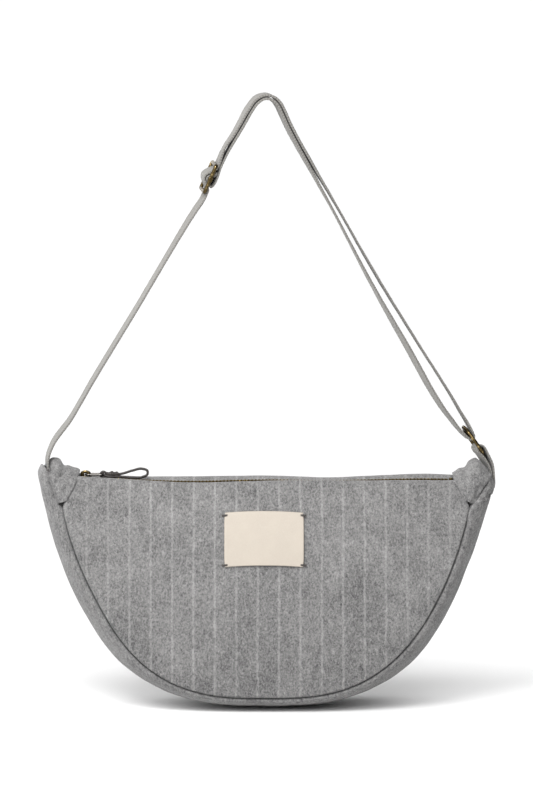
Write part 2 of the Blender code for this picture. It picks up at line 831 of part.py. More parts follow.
def ring_tab_route(line):
    """The ring tab's loop: up beside the ring, round its wire and down again."""
    marks, _, spreads = line
    close = (WEBBING + CLEAR) / 2
    offsets = close + spreads * (RING_TAB_SPREAD - close)
    strand = list(zip(marks, offsets))[1:]
    route = strand[::-1] + ring_fold(0.0, -1)
    return route + [(mark, -offset) for mark, offset in strand]


def placed(item, place):
    """Stands an item made along X (length) and Y (width) in a frame of the webbing."""
    point, ahead, wide, outward = place
    turn = Matrix((ahead, wide, outward)).transposed()
    item.matrix_world = Matrix.Translation(point) @ turn.to_4x4()


def strap_slider(place, group, guides):
    """Three-bar slider: an oblong wire frame and a middle bar."""
    radius = STRAP_SLIDER_WIRE / 2
    reach = STRAP_SLIDER_LENGTH / 2 - radius
    half = WEBBING_WIDTH / 2 + STRAP_SLIDER_SIDE_GAP + radius
    points = rounded_loop(-reach, reach, half, STRAP_SLIDER_CORNER)
    item = tube("strap_slider", points, radius, group, closed=True)
    bar = tube("slider_bar", [(0.0, -half, 0.0), (0.0, half, 0.0)], 0.95 * radius, guides)
    placed(item, place)
    placed(bar, place)
    combine(item, bar, "UNION")
    return finish(item, BRASS, 0.3, 1.0)


def strap_ring(place, group):
    """Round ring in the plane of the strap's pull."""
    bpy.ops.mesh.primitive_torus_add(
        major_radius=(RING_INNER + RING_WIRE) / 2,
        minor_radius=RING_WIRE / 2,
        major_segments=30,
        minor_segments=8,
    )
    item = bpy.context.object
    item.name = "strap_ring"
    move_to(item, group)
    placed(item, place)
    return finish(item, BRASS, 0.3, 1.0)


def end_stop(x, group):
    size = (END_STOP_LENGTH, 0.9 * CHAIN_WIDTH, 1.4 * CHAIN_THICKNESS)
    item = box("zip_end_stop", (x + END_STOP_LENGTH / 2, 0.0, chain_height(x)), size, group)
    edges = item.modifiers.new("Edges", "BEVEL")
    edges.width = 0.15 * CHAIN_THICKNESS
    edges.segments = 1
    return finish(item, BRASS, 0.35, 1.0)


def build():
    clear_scene()
    bag = collection("belt_bag")
    guides = collection("guides")

    panel("front_panel", -1, FRONT_WAVE, bag)
    panel("back_panel", 1, BACK_WAVE, bag)
    gusset(bag)
    end_tab("end_tab_left", -1, LEFT_TAB_INNER, LEFT_TAB_OUTER, LEFT_HUMPS, bag)
    end_tab("end_tab_right", 1, RIGHT_TAB_INNER, RIGHT_TAB_OUTER, RIGHT_HUMPS, bag)
    label(bag)

    slider_x = -ZIP_HALF + CLEAR + ZIP_SLIDER_LENGTH / 2
    slider_z = chain_height(slider_x)
    chain_left = slider_x - ZIP_SLIDER_LENGTH / 2 + 2 * ZIP_SLIDER_PLATE + CLEAR
    chain_right = ZIP_HALF - END_STOP_LENGTH - 2 * CLEAR
    zip_tape("zip_tape_front", -1, FRONT_WAVE, chain_left, bag)
    zip_tape("zip_tape_back", 1, BACK_WAVE, chain_left, bag)
    zip_teeth(chain_left, chain_right, bag)
    end_stop(chain_right + CLEAR, bag)
    zip_slider((slider_x, 0.0, slider_z), bag, guides)
    hinge = bpy.data.objects.new("pull_hinge", None)
    hinge.location = (slider_x, 0.0, slider_z + pull_height())
    bag.objects.link(hinge)
    pull_wire(hinge, bag)
    pull_thong(hinge, bag, guides)

    strap_line = route_line(STRAP_ROUTE)
    tab_line = route_line(RING_TAB_ROUTE)
    slider_mark = strap_line[0][[row[0] for row in STRAP_ROUTE].index("slider")]
    webbing("strap", strap_line, strap_route(strap_line), bag)
    strap_slider(frame_at(strap_line, slider_mark), bag, guides)
    strap_ring(frame_at(strap_line, strap_line[0][-1]), bag)
    webbing("ring_tab", tab_line, ring_tab_route(tab_line), bag)


build()
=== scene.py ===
"""Half-moon belt bag: dresses the bag's solids in felt, webbing, brass, leather and a plain stage.

Metres, +Z up, the front faces -Y. The origin is the underside of the strap at its highest point.
"""

import math

import bmesh
import bpy
import numpy as np
from bpy.props import FloatProperty, FloatVectorProperty, PointerProperty
from mathutils import Matrix, Vector, kdtree, noise


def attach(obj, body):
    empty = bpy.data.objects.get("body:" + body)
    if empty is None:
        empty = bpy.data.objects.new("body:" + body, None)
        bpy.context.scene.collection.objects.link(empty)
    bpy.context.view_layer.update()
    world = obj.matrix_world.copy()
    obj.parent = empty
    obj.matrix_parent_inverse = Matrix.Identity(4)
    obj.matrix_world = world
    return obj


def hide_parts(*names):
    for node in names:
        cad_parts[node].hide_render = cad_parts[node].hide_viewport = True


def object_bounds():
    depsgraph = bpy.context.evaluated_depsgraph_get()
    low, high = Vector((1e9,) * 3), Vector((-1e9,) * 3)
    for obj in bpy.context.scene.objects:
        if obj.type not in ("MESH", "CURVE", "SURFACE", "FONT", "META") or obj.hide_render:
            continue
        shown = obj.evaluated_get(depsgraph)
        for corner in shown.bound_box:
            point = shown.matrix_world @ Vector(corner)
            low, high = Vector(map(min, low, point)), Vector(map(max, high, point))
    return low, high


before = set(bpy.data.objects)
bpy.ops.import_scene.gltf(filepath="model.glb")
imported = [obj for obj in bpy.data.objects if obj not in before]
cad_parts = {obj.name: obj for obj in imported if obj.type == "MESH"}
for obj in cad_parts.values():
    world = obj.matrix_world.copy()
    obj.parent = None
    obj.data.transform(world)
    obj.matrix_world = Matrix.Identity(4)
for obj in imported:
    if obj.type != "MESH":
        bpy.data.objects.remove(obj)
SOLIDS_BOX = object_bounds()

bl_info = {
    "name": "Half-moon belt bag",
    "version": (1, 0, 0),
    "blender": (4, 5, 0),
    "location": "View3D > Sidebar > Belt bag",
    "description": "Makes the felt, webbing, metal and leather of a half-moon belt bag",
    "category": "Object",
}

MM = 0.001

# Bag body
BAG_WIDTH = 0.363
BAG_DROP = 0.184
STRAP_DROP = 0.300
FELT = 0.0022
BASE_HALF_DEPTH = 0.043
MOUTH_HALF_DEPTH = 0.0155
MOUTH_SINK = 0.002
MOUTH_PINCH = 0.12
MOUTH_WAVE = 0.0028
PANEL_BULGE = 0.007
DEPTH_CURVE = 0.8
SEAM_INSET = 0.0105
SEAM_LAP = 0.0015
SEAM_IN = 0.0043
SEAM_UP = 0.0014
LEFT_SEAM_DRAW = 0.019
RIGHT_SEAM_DRAW = 0.007
RIDGE_FULLER = 0.022
RIGHT_RIDGE_NARROWER = 0.010
FOOT_LAP = 0.0034
FOLD_RADIUS = 0.0032
CLEAR = 0.0004
OUTLINE_TAPER = 0.21
OUTLINE_DOWN_POWER = 2.8
OUTLINE_ACROSS_POWER = 2.915

# End tabs
TAB_REACH = 0.0325
TAB_RISE = 0.016
TAB_HUMP = 0.0096
TAB_PUFF = 0.0016
TAB_FOOT_DROP = 0.019
SLIT_RISE = 0.0048
TAB_LIP = 0.0009
TAB_TUCK = 0.0026
LEFT_LIP = 0.0011
RIGHT_LIP = 0.0003

# Zip and its pull
CHAIN_WIDTH = 0.0056
CHAIN_THICKNESS = 0.002
CHAIN_SINK = 0.0026
TEETH_LIFT = 0.0003
CHAIN_LEAN = 0.0005
HEM_GAP = 0.0008
PANEL_TUCK = 0.004
PANEL_SINK = 0.0032
TAPE_THICKNESS = 0.0008
TOOTH_PITCH = 0.0028
ZIP_SLIDER_LENGTH = 0.0098
ZIP_SLIDER_WIDTH = 0.009
ZIP_SLIDER_PLATE = 0.001
BRIDGE_WIRE = 0.0016
BRIDGE_LENGTH = 0.0064
END_STOP_LENGTH = 0.003
PULL_WIRE = 0.0013
PULL_WIRE_LENGTH = 0.0142
PULL_WIRE_WIDTH = 0.007
PULL_WIRE_CORNER = 0.0021
THONG = 0.002
KNOT_LENGTH = 0.0118
KNOT_TURNS = 2.6
THONG_LOOP_LENGTH = 0.0225
THONG_LOOP_RISE = 0.0042

# Label
LABEL_WIDTH = 0.064
LABEL_HEIGHT = 0.043
LABEL_THICKNESS = 0.0012
LABEL_DROP = 0.0445
LABEL_BOW = 0.0013
LABEL_TRIM = 0.0009
LABEL_SHIFT = 0.0015

# Webbing, the three-bar slider and the ring
WEBBING_WIDTH = 0.024
WEBBING = 0.0016
STRAND_GAP = 0.0017
STRAND_SPREAD = 0.0052
STRAP_TURN = math.radians(8)
STRAP_SLIDER_LENGTH = 0.025
STRAP_SLIDER_WIRE = 0.0024
STRAP_SLIDER_CORNER = 0.0018
STRAP_SLIDER_SIDE_GAP = 0.0006
RING_INNER = 0.0258
RING_WIRE = 0.0028
RING_TAB_SPREAD = 0.0021
WEBBING_LOFT = 0.9
STRAND_PAD = 0.0005

# Turns of the webbing about the upright, in degrees: the single strand, the doubled strands
# left of the top, and the ring tab between its ends
SINGLE_TURN = -1.5
TOP_TURN = -3.5
RING_TAB_TURN = 4.5

SHOULDER_Z = -STRAP_DROP
MOUTH_Z = SHOULDER_Z - MOUTH_SINK
HALF_WIDTH = BAG_WIDTH / 2
ZIP_HALF = HALF_WIDTH - TAB_REACH
SEAM_HALF_WIDTH = HALF_WIDTH - SEAM_INSET
SEAM_DROP = BAG_DROP - SEAM_INSET
STRAND_OFFSET = (WEBBING + STRAND_GAP) / 2
APEX_Z = STRAND_OFFSET + WEBBING / 2

# Rise of the mouth's folded edge, as shares of the zip's half length and of the mouth's wave
FRONT_WAVE = (
    # across, rise
    (-1.00, 1.15),
    (-0.69, 0.25),
    (-0.36, -0.54),
    (-0.07, -0.07),
    (0.18, 0.15),
    (0.60, 0.00),
    (1.00, 0.15),
)
BACK_WAVE = (
    # across, rise
    (-1.00, 0.90),
    (-0.62, 0.00),
    (0.00, 0.25),
    (0.34, -0.35),
    (0.54, 0.25),
    (0.85, 0.80),
    (1.00, 0.50),
)

# End tab borders: shares of the tab's reach inwards, of its rise upwards or its foot's drop
# downwards, and of the mouth's half depth outwards
LEFT_TAB_INNER = (
    # place, inward, up, out
    ("crown", 1.00, 0.33, 0.00),
    ("brow", 0.99, 0.20, 0.52),
    ("side", 0.95, -0.104, 0.90),
    ("foot", 0.71, -0.922, 1.20),
)
LEFT_TAB_OUTER = (
    # place, inward, up, out
    ("crown", 0.262, 0.36, 0.00),
    ("brow", 0.27, 0.26, 0.50),
    ("side", 0.29, -0.06, 0.90),
    ("foot", 0.56, -1.00, 1.22),
)
RIGHT_TAB_INNER = (
    # place, inward, up, out
    ("crown", 1.00, 0.18, 0.00),
    ("brow", 0.99, 0.10, 0.52),
    ("side", 0.95, -0.139, 0.90),
    ("foot", 0.71, -0.922, 1.20),
)
RIGHT_TAB_OUTER = (
    # place, inward, up, out
    ("crown", 0.160, 0.20, 0.00),
    ("brow", 0.17, 0.34, 0.50),
    ("side", 0.21, 0.26, 0.90),
    ("foot", 0.56, -1.00, 1.22),
)
LEFT_HUMPS = (
    # outward, rise
    (0.00, 0.00),
    (0.33, 0.20),
    (0.47, 0.34),
    (0.60, 0.70),
    (0.78, 0.86),
    (0.92, 0.80),
    (1.00, 0.52),
)
RIGHT_HUMPS = (
    # outward, rise
    (0.00, 0.00),
    (0.16, 0.25),
    (0.31, 0.36),
    (0.58, 0.97),
    (0.70, 1.00),
    (0.86, 0.50),
    (1.00, 0.00),
)
LEFT_GUSSET_END = (
    # place, seam inward, seam up, seam out, ridge inward, ridge up
    ("slit", 0.245, 0.52, 0.90, 0.150, 0.42),
    ("corner", 0.270, 0.00, 0.95, 0.095, 0.58),
    ("shoulder", 0.368, -0.35, 0.98, 0.015, 0.30),
    ("side", 0.487, -0.80, 1.06, 0.000, 0.00),
)
RIGHT_GUSSET_END = (
    # place, seam inward, seam up, seam out, ridge inward, ridge up
    ("slit", 0.190, 0.36, 0.90, 0.100, 0.22),
    ("corner", 0.235, 0.06, 0.94, 0.060, 0.14),
    ("shoulder", 0.320, -0.34, 0.98, 0.030, -0.10),
    ("side", 0.470, -0.76, 1.05, 0.020, -0.450),
)
GUSSET_SEAM_START = 0.125
GUSSET_RIDGE_START = 0.045
GUSSET_SECTIONS = 33
HEM_ROWS = 9

# Soft folds in the felt of the bag's two ends, seen from the front, in millimetres
LEFT_END_FOLDS = (
    # from x, from z, to x, to z, width, depth
    (-160.8, -287.5, -162.6, -297.5, 2.3, 1.7),
    (-162.6, -297.5, -167.0, -301.5, 2.0, 1.2),
    (-170.4, -306.0, -166.0, -302.5, 1.6, 1.0),
    (-160.6, -311.0, -155.6, -303.0, 2.0, 0.7),
    (-176.5, -306.0, -172.5, -318.0, 2.6, 0.6),
)
RIGHT_END_FOLDS = (
    # from x, from z, to x, to z, width, depth
    (168.6, -308.0, 164.8, -318.0, 2.2, 1.7),
    (170.9, -304.5, 176.4, -312.0, 2.0, 1.1),
    (157.8, -291.5, 159.0, -301.0, 2.2, 1.1),
    (166.0, -298.0, 170.5, -305.0, 2.4, 0.8),
    (170.5, -314.0, 165.0, -327.0, 2.2, 0.6),
)
FRONT_FOLDS = (
    # from x, from z, to x, to z, width, depth
    (140.0, -309.0, 146.0, -322.0, 5.0, 0.6),
    (-143.0, -311.0, -150.0, -326.0, 5.0, 0.5),
    (118.0, -330.0, 128.0, -372.0, 11.0, 0.6),
    (-110.0, -335.0, -118.0, -380.0, 12.0, 0.6),
    (-30.0, -395.0, 40.0, -425.0, 15.0, 0.6),
)

# Middle line of the strap: shares of the bag's half width and of the strap's drop
STRAP_ROUTE = (
    # place, across, down, spread
    ("foot", -0.962, 1.010, 0.0),
    ("root", -0.960, 0.996, 0.0),
    ("above the tab", -0.959, 0.962, 0.0),
    ("bend", -0.938, 0.924, 0.0),
    ("lower left", -0.859, 0.856, 0.0),
    ("left", -0.762, 0.755, 0.0),
    ("middle left", -0.548, 0.541, 0.0),
    ("upper left", -0.442, 0.432, 0.0),
    ("below slider", -0.309, 0.297, 0.0),
    ("slider", -0.2505, 0.2128, 0.0),
    ("above slider", -0.204, 0.152, 0.0),
    ("left of top", -0.140, 0.106, 0.0),
    ("left side", -0.1086, 0.0729, 0.0),
    ("left shoulder", -0.0715, 0.0325, 0.0),
    ("left crown", -0.0394, 0.0085, 0.0),
    ("crown", 0.0, 0.0, 0.0),
    ("right crown", 0.0340, 0.0078, 0.0),
    ("right bend", 0.0545, 0.0222, 0.0),
    ("right shoulder", 0.0690, 0.0400, 0.0),
    ("right of top", 0.0937, 0.0729, 0.0),
    ("upper right", 0.189, 0.178, 0.05),
    ("parting", 0.289, 0.284, 0.10),
    ("middle right", 0.4713, 0.485, 0.45),
    ("right", 0.6303, 0.648, 0.75),
    ("lower right", 0.818, 0.835, 0.95),
    ("ring", 0.9107, 0.9164, 0.0),
)
SLIDER_ENTRY = (
    # along, beside
    (-2.4, -0.2),
    (-1.7, -0.8),
)
SLIDER_EXIT = (
    # along, beside
    (1.7, -0.7),
    (2.4, 0.1),
)
SLIDER_WEAVE_REACH = 1.2
SEWN_END = (
    # along, inner, beside, clear
    (2.20, -0.87, 0.00, 0.0),
    (1.50, -1.00, 0.00, 0.0),
    (1.00, -1.00, 0.00, 0.0),
    (0.40, -1.00, 0.00, -1.0),
    (-0.10, -1.00, 0.00, -1.0),
    (-0.42, -1.00, 0.00, 1.0),
    (-0.54, -0.72, 0.00, 0.0),
    (-0.48, -0.44, 0.00, 0.0),
    (-0.30, -0.10, 0.00, 0.0),
    (-0.20, 0.00, 0.55, 0.0),
    (0.00, 0.00, 1.00, 0.0),
    (0.17, 0.00, 0.55, 0.0),
    (0.22, 0.00, -0.30, 0.0),
    (0.30, 0.00, -0.95, 0.0),
    (0.44, 0.00, -1.00, -1.0),
    (0.58, 0.00, -1.00, -1.0),
)
RING_TAB_ROUTE = (
    # place, across, down, spread
    ("ring", 0.9107, 0.9164, 0.0),
    ("below ring", 0.950, 0.950, 1.0),
    ("bend", 0.974, 0.979, 0.45),
    ("root", 0.984, 0.997, 0.0),
    ("foot", 0.985, 1.012, 0.0),
)

# Stitches of the label's corners: side, half heights up, and millimetres further up
LABEL_STITCHES = (
    # side, up, inset
    (-1, 1, -2.4),
    (-1, 1, -3.2),
    (-1, -1, 2.2),
    (-1, -1, 1.4),
    (1, 1, -2.4),
    (1, 1, -3.2),
    (1, -1, 2.2),
    (1, -1, 1.4),
)

# Leather loop of the pull: shares of its length, its rise and the thong's thickness
THONG_LOOP = (
    # along, up, forward
    (-0.20, 0.00, 0.0),
    (0.05, 0.10, 0.0),
    (0.42, 0.66, -0.3),
    (0.80, 1.00, -0.6),
    (0.97, 0.62, -0.4),
    (0.97, 0.02, 0.0),
    (0.80, -0.50, 0.4),
    (0.40, -0.62, 0.6),
    (0.05, -0.45, 0.5),
    (-0.25, -0.40, 0.85),
    (-0.48, -0.32, 0.80),
    (-0.60, 0.00, 0.40),
)

# Further turn of the two strands of the right leg, in degrees
STRAP_TWIST = (
    # height, inner strand, outer strand
    (-0.30, 0.0, 0.0),
    (-0.265, 0.5, -0.5),
    (-0.25, 2.5, -2.5),
    (-0.22, 4.0, -3.5),
    (-0.19, 3.5, -4.0),
    (-0.13, -2.5, -3.5),
    (-0.08, -4.0, -4.5),
    (-0.03, -1.0, -1.0),
    (0.01, 0.0, 0.0),
)

# Left upper quarter of the webbing's section: shares of half its width and thickness
WEBBING_SECTION = (
    # across, half thickness
    (-1.000, 0.00),
    (-0.985, 0.62),
    (-0.955, 0.98),
    (-0.900, 1.10),
    (-0.845, 0.92),
    (-0.500, 0.95),
    (0.000, 1.00),
)


def colour_setting(name, description, default):
    return FloatVectorProperty(name=name, description=description, subtype="COLOR", default=default)


def length_setting(name, description, default):
    return FloatProperty(name=name, description=description, unit="LENGTH", default=default)


def angle_setting(name, description, degrees):
    default = math.radians(degrees)
    return FloatProperty(
        name=name, description=description, subtype="ANGLE", unit="ROTATION", default=default
    )


class FeltSettings(bpy.types.PropertyGroup):
    """Colours and scale of the wool felt."""

    grey: colour_setting("Felt grey", "Middle grey of the melange felt", (0.166, 0.1635, 0.162))
    # The dark fibres' grey also tints the painted shade in the seams and folds
    dark: colour_setting("Dark fibres", "Grey of the darkest fibres", (0.052, 0.0515, 0.053))
    light: colour_setting("Light fibres", "Grey of the lightest fibres", (0.315, 0.310, 0.307))
    stripe: colour_setting("Pinstripe", "Colour of the chalk pinstripe", (0.42, 0.416, 0.41))
    stripe_spacing: length_setting("Stripe spacing", "From one pinstripe to the next", 0.01694)
    stripe_width: length_setting("Stripe width", "Width of one pinstripe", 0.0019)
    stripe_start: length_setting("Stripe start", "Place of the stripe near the middle", -0.0066)


class WebbingSettings(bpy.types.PropertyGroup):
    """Colours and scale of the webbing and the zip tape."""

    face: colour_setting("Webbing face", "Light grey of the face", (0.208, 0.204, 0.190))
    selvedge: colour_setting("Selvedge", "Darker grey of the edges", (0.115, 0.107, 0.10))
    rib: length_setting("Rib", "Width of one rib of the weave", 0.0011)
    tape: colour_setting("Zip tape", "Grey of the zip tape", (0.16, 0.155, 0.15))


class TrimSettings(bpy.types.PropertyGroup):
    """Colours of the metal, the label and the leather."""

    brass: colour_setting("Brass", "Darkened brass", (0.085, 0.062, 0.026))
    worn_brass: colour_setting("Worn brass", "Brass rubbed bright", (0.62, 0.46, 0.21))
    steel: colour_setting("Steel", "Dull steel of the pull's wire", (0.135, 0.128, 0.12))
    leather: colour_setting("Leather", "Grey-brown of the thong", (0.020, 0.017, 0.0155))
    label: colour_setting("Label", "Cream of the front patch", (0.405, 0.360, 0.306))
    thread: colour_setting("Thread", "Dark thread of the stitches", (0.045, 0.040, 0.038))


class StageSettings(bpy.types.PropertyGroup):
    """Camera, floor and lights."""

    elevation: angle_setting("Camera elevation", "Angle of the camera over the bag", 6.8)
    distance: length_setting("Camera distance", "From the camera to the bag", 4.0)
    frame_height: length_setting("Frame height", "Height of the picture at the bag", 0.636)
    key: FloatProperty(name="Key light", description="Strength of the broad light", default=2.45)
    key_spread: angle_setting("Key spread", "Angle that the broad light fills", 56)
    side: FloatProperty(
        name="Side light", description="Power of the near light", unit="POWER", default=4.7
    )
    sky: FloatProperty(name="Room light", description="Strength of the room's light", default=1.04)
    floor: colour_setting("Floor", "Colour of the floor", (0.9, 0.9, 0.9))


class BeltBagSettings(bpy.types.PropertyGroup):
    """All the settings of the belt bag."""

    felt: PointerProperty(name="Felt", description="Wool felt", type=FeltSettings)
    webbing: PointerProperty(name="Webbing", description="Webbing", type=WebbingSettings)
    trim: PointerProperty(name="Trim", description="Metal and leather", type=TrimSettings)
    stage: PointerProperty(name="Stage", description="Camera and lights", type=StageSettings)


def settings():
    return bpy.context.scene.belt_bag


def smooth_values(marks, values, at):
    """Values read from a smooth curve that passes through each row at its mark."""
    marks, values, at = (np.asarray(given, float) for given in (marks, values, at))
    slopes = np.gradient(values, marks, axis=0)
    span = np.clip(np.searchsorted(marks, at, side="right") - 1, 0, len(marks) - 2)
    width = marks[span + 1] - marks[span]
    share = (at - marks[span]) / width
    if values.ndim > 1:
        width = width[..., None]
        share = share[..., None]
    square = share * share
    cube = square * share
    return (
        (2 * cube - 3 * square + 1) * values[span]
        + (cube - 2 * square + share) * width * slopes[span]
        + (3 * square - 2 * cube) * values[span + 1]
        + (cube - square) * width * slopes[span + 1]
    )


def lengths_along(points):
    steps = np.linalg.norm(np.diff(points, axis=0), axis=1)
    return np.concatenate([[0.0], np.cumsum(steps)])


def points_at_shares(points, shares):
    """Points of a line at shares of its length."""
    points = np.asarray(points, float)
    marks = lengths_along(points)
    return np.stack([np.interp(shares * marks[-1], marks, column) for column in points.T], 1)


def evened(points, spacing):
    """A closed line with points at an even spacing."""
    points = np.concatenate([points, points[:1]])
    count = max(4, int(lengths_along(points)[-1] / spacing))
    return points_at_shares(points, np.linspace(0.0, 1.0, count + 1))[:-1]


def unit(vectors):
    return vectors / np.maximum(np.linalg.norm(vectors, axis=-1, keepdims=True), 1e-12)


def columns_of(x, y, z):
    """Points from three columns, any of which may be one number."""
    return np.stack(np.broadcast_arrays(x, y, z), axis=-1)


def object_from(name, shape, material, node=None, body="bag"):
    """A smooth mesh object from points and faces, that rides on a body."""
    vertices, faces = shape
    mesh = bpy.data.meshes.new(name)
    mesh.from_pydata(vertices.reshape(-1, 3).tolist(), [], faces)
    mesh.materials.append(material)
    mesh.shade_smooth()
    mesh.update()
    item = bpy.data.objects.new(name, mesh)
    bpy.context.scene.collection.objects.link(item)
    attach(item, body)
    if node:
        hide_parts(node)
    return item


def grid_faces(rows, columns, closed_rows=False, closed_columns=False):
    """Faces of a grid of points, row after row."""
    down = np.arange(rows if closed_rows else rows - 1)
    right = np.arange(columns if closed_columns else columns - 1)
    down, right = np.meshgrid(down, right, indexing="ij")
    below = (down + 1) % rows
    beside = (right + 1) % columns
    corners = (
        down * columns + right,
        down * columns + beside,
        below * columns + beside,
        below * columns + right,
    )
    return np.stack(corners, axis=-1).reshape(-1, 4).tolist()


def tube_faces(rings, sides, closed=False):
    """Faces of a row of rings, with flat caps where it is open."""
    faces = grid_faces(rings, sides, closed_rows=closed, closed_columns=True)
    if not closed:
        faces.append(list(range(sides))[::-1])
        faces.append([(rings - 1) * sides + i for i in range(sides)])
    return faces


def grid_normals(points):
    """Unit normals of a grid of points."""
    return unit(np.cross(np.gradient(points, axis=1), np.gradient(points, axis=0)))


def mark(item, name, kind, field, values):
    """Stores values for each point under a name that the materials read: seam is the strength of
    the felt's painted shade, 0 on the open cloth and 1 at the stitches, and cloth is the place
    across and along the webbing in metres."""
    layer = item.data.attributes.new(name, kind, "POINT")
    layer.data.foreach_set(field, np.asarray(values, np.float32).ravel())


def sheet_from(name, points, material, node, thickness, seam=None, offset=-1.0):
    """A grid of points as a sheet of the given thickness."""
    item = object_from(name, (points, grid_faces(*points.shape[:2])), material, node)
    # seam, when given, is the strength of the painted shade that the felt reads
    if seam is not None:
        mark(item, "seam", "FLOAT", "value", seam)
    wall = item.modifiers.new("Wall", "SOLIDIFY")
    wall.thickness = thickness
    wall.offset = offset


def carried_on(ahead):
    """A direction beside a path, carried along it without turning about it."""
    start = np.cross(ahead[0], (0.0, 0.0, 1.0))
    if np.linalg.norm(start) < 0.1:
        start = np.cross(ahead[0], (0.0, 1.0, 0.0))
    sideways = [unit(start)]
    for direction in ahead[1:]:
        sideways.append(unit(sideways[-1] - direction * sideways[-1].dot(direction)))
    return np.array(sideways)


def sweep(path, radius, sides=12, closed=False, flat=1.0, flat_axis=None):
    """Points and faces of a bar along a path, with rounded ends where it is open."""
    path = np.asarray(path, float)
    steps = np.roll(path, -1, 0) - np.roll(path, 1, 0) if closed else np.gradient(path, axis=0)
    ahead = unit(steps)
    sideways = carried_on(ahead) if flat_axis is None else unit(np.cross(ahead, flat_axis))
    upright = np.cross(ahead, sideways)
    radii = np.broadcast_to(radius, (len(path),))
    if not closed:
        reach = 1.0 - np.linspace(0.15, 1.0, 4)[:-1]
        shrink = np.sqrt(1.0 - reach**2)
        head = path[:1] - ahead[:1] * (reach * radii[0])[:, None]
        tail = path[-1:] + ahead[-1:] * (reach * radii[-1])[::-1, None]
        path = np.concatenate([head, path, tail])
        radii = np.concatenate([shrink * radii[0], radii, (shrink * radii[-1])[::-1]])
        ends = ((len(reach), len(reach)), (0, 0))
        sideways = np.pad(sideways, ends, "edge")
        upright = np.pad(upright, ends, "edge")
    angles = np.linspace(0.0, 2 * math.pi, sides, endpoint=False)
    rings = (
        path[:, None]
        + sideways[:, None] * (radii[:, None] * np.cos(angles))[..., None]
        + upright[:, None] * (flat * radii[:, None] * np.sin(angles))[..., None]
    )
    return rings.reshape(-1, 3), tube_faces(len(path), sides, closed)


def joined(shapes):
    """One list of points and one of faces from several."""
    faces = []
    start = 0
    for points, polygons in shapes:
        faces += [[start + index for index in polygon] for polygon in polygons]
        start += len(points)
    return np.concatenate([points for points, _ in shapes]), faces


def moved(shape, shift):
    points, faces = shape
    return points + np.asarray(shift), faces


def bevelled(shape, edges, offset):
    """Points and faces of a bmesh with some of its edges rounded. The bmesh is freed."""
    bmesh.ops.bevel(shape, geom=edges, offset=offset, segments=2, profile=0.5, affect="EDGES")
    shape.verts.index_update()
    points = np.array([vertex.co[:] for vertex in shape.verts])
    faces = [[vertex.index for vertex in face.verts] for face in shape.faces]
    shape.free()
    return points, faces


def rounded_block(centre, size, edge):
    """Points and faces of a block with rounded edges."""
    shape = bmesh.new()
    bmesh.ops.create_cube(shape, size=1.0)
    bmesh.ops.scale(shape, vec=size, verts=shape.verts)
    return moved(bevelled(shape, list(shape.edges), edge), centre)


def plate(corners, low, high, edge):
    """Points and faces of a flat plate with rounded rims, from its outline."""
    shape = bmesh.new()
    face = shape.faces.new([shape.verts.new((x, y, low)) for x, y in corners])
    made = bmesh.ops.extrude_face_region(shape, geom=[face])
    lifted = [part for part in made["geom"] if isinstance(part, bmesh.types.BMVert)]
    bmesh.ops.translate(shape, vec=(0.0, 0.0, high - low), verts=lifted)
    bmesh.ops.recalc_face_normals(shape, faces=shape.faces)
    rims = [
        line for line in shape.edges if abs(line.verts[0].co.z - line.verts[1].co.z) < 1e-7
    ]
    return bevelled(shape, rims, edge)


def thread_stitch(start, end, lift, radius):
    """One stitch: a short arched thread between two holes."""
    share = np.linspace(0.0, 1.0, 7)[:, None]
    arch = np.sin(math.pi * share) ** 0.6
    path = np.array(start) + np.subtract(end, start) * share + np.array(lift) * arch
    return sweep(path, radius, sides=7)


def half_width_at(drop_share, half_width):
    """Half width of the half moon at a share of its drop."""
    share = np.clip(drop_share, 0.0, 1.0)
    lean = 1.0 - OUTLINE_TAPER * share
    return half_width * lean * (1.0 - share**OUTLINE_DOWN_POWER) ** (1 / OUTLINE_ACROSS_POWER)


def outline(half_width, drop, start_share, count):
    """Points (x, z) of the half moon's edge from the left to the right, evenly spaced."""
    angles = np.linspace(math.asin(start_share ** (OUTLINE_DOWN_POWER / 2)), math.pi / 2, 300)
    shares = np.sin(angles) ** (2 / OUTLINE_DOWN_POWER)
    left = np.stack([-half_width_at(shares, half_width), SHOULDER_Z - drop * shares], axis=1)
    right = left[-2::-1] * (-1.0, 1.0)
    return points_at_shares(np.concatenate([left, right]), np.linspace(0.0, 1.0, count))


def bump(values, centre, reach):
    """1 at the centre, falling smoothly to 0 on both sides of it."""
    return np.exp(-(((values - centre) / reach) ** 2))


def seam_line(half_width, drop, start_share, count):
    """The seam between panel and gusset: the half moon, drawn in along its lower sides."""
    line = outline(half_width, drop, start_share, count)
    share = (SHOULDER_Z - line[:, 1]) / drop
    drawn_in = np.where(line[:, 0] < 0, LEFT_SEAM_DRAW, RIGHT_SEAM_DRAW) * bump(share, 0.6, 0.22)
    return line * np.stack([1.0 - drawn_in, np.ones_like(share)], 1)


def half_depth(x, z):
    """Half the bag's depth at points of the panels."""
    drop_share = np.clip((SHOULDER_Z - z) / SEAM_DROP, 0.0, 1.0)
    share = np.clip((MOUTH_Z - z) / (SEAM_DROP - MOUTH_SINK), 0.0, 1.0)
    edge = np.maximum(half_width_at(drop_share, SEAM_HALF_WIDTH), np.abs(x) + 1e-9)
    at_zip = np.clip(x, -ZIP_HALF, ZIP_HALF) / ZIP_HALF
    mouth = MOUTH_HALF_DEPTH * (1.0 - MOUTH_PINCH * at_zip**2)
    bulge = PANEL_BULGE * (1.0 - (x / edge) ** 2) * np.sin(math.pi * share)
    return mouth + (BASE_HALF_DEPTH - mouth) * share**DEPTH_CURVE + bulge


def mouth_edge(x, wave):
    """Height of a panel's folded top edge."""
    marks, rises = zip(*wave)
    at = np.clip(x / ZIP_HALF, -1.0, 1.0)
    return MOUTH_Z + MOUTH_WAVE * smooth_values(marks, rises, at)


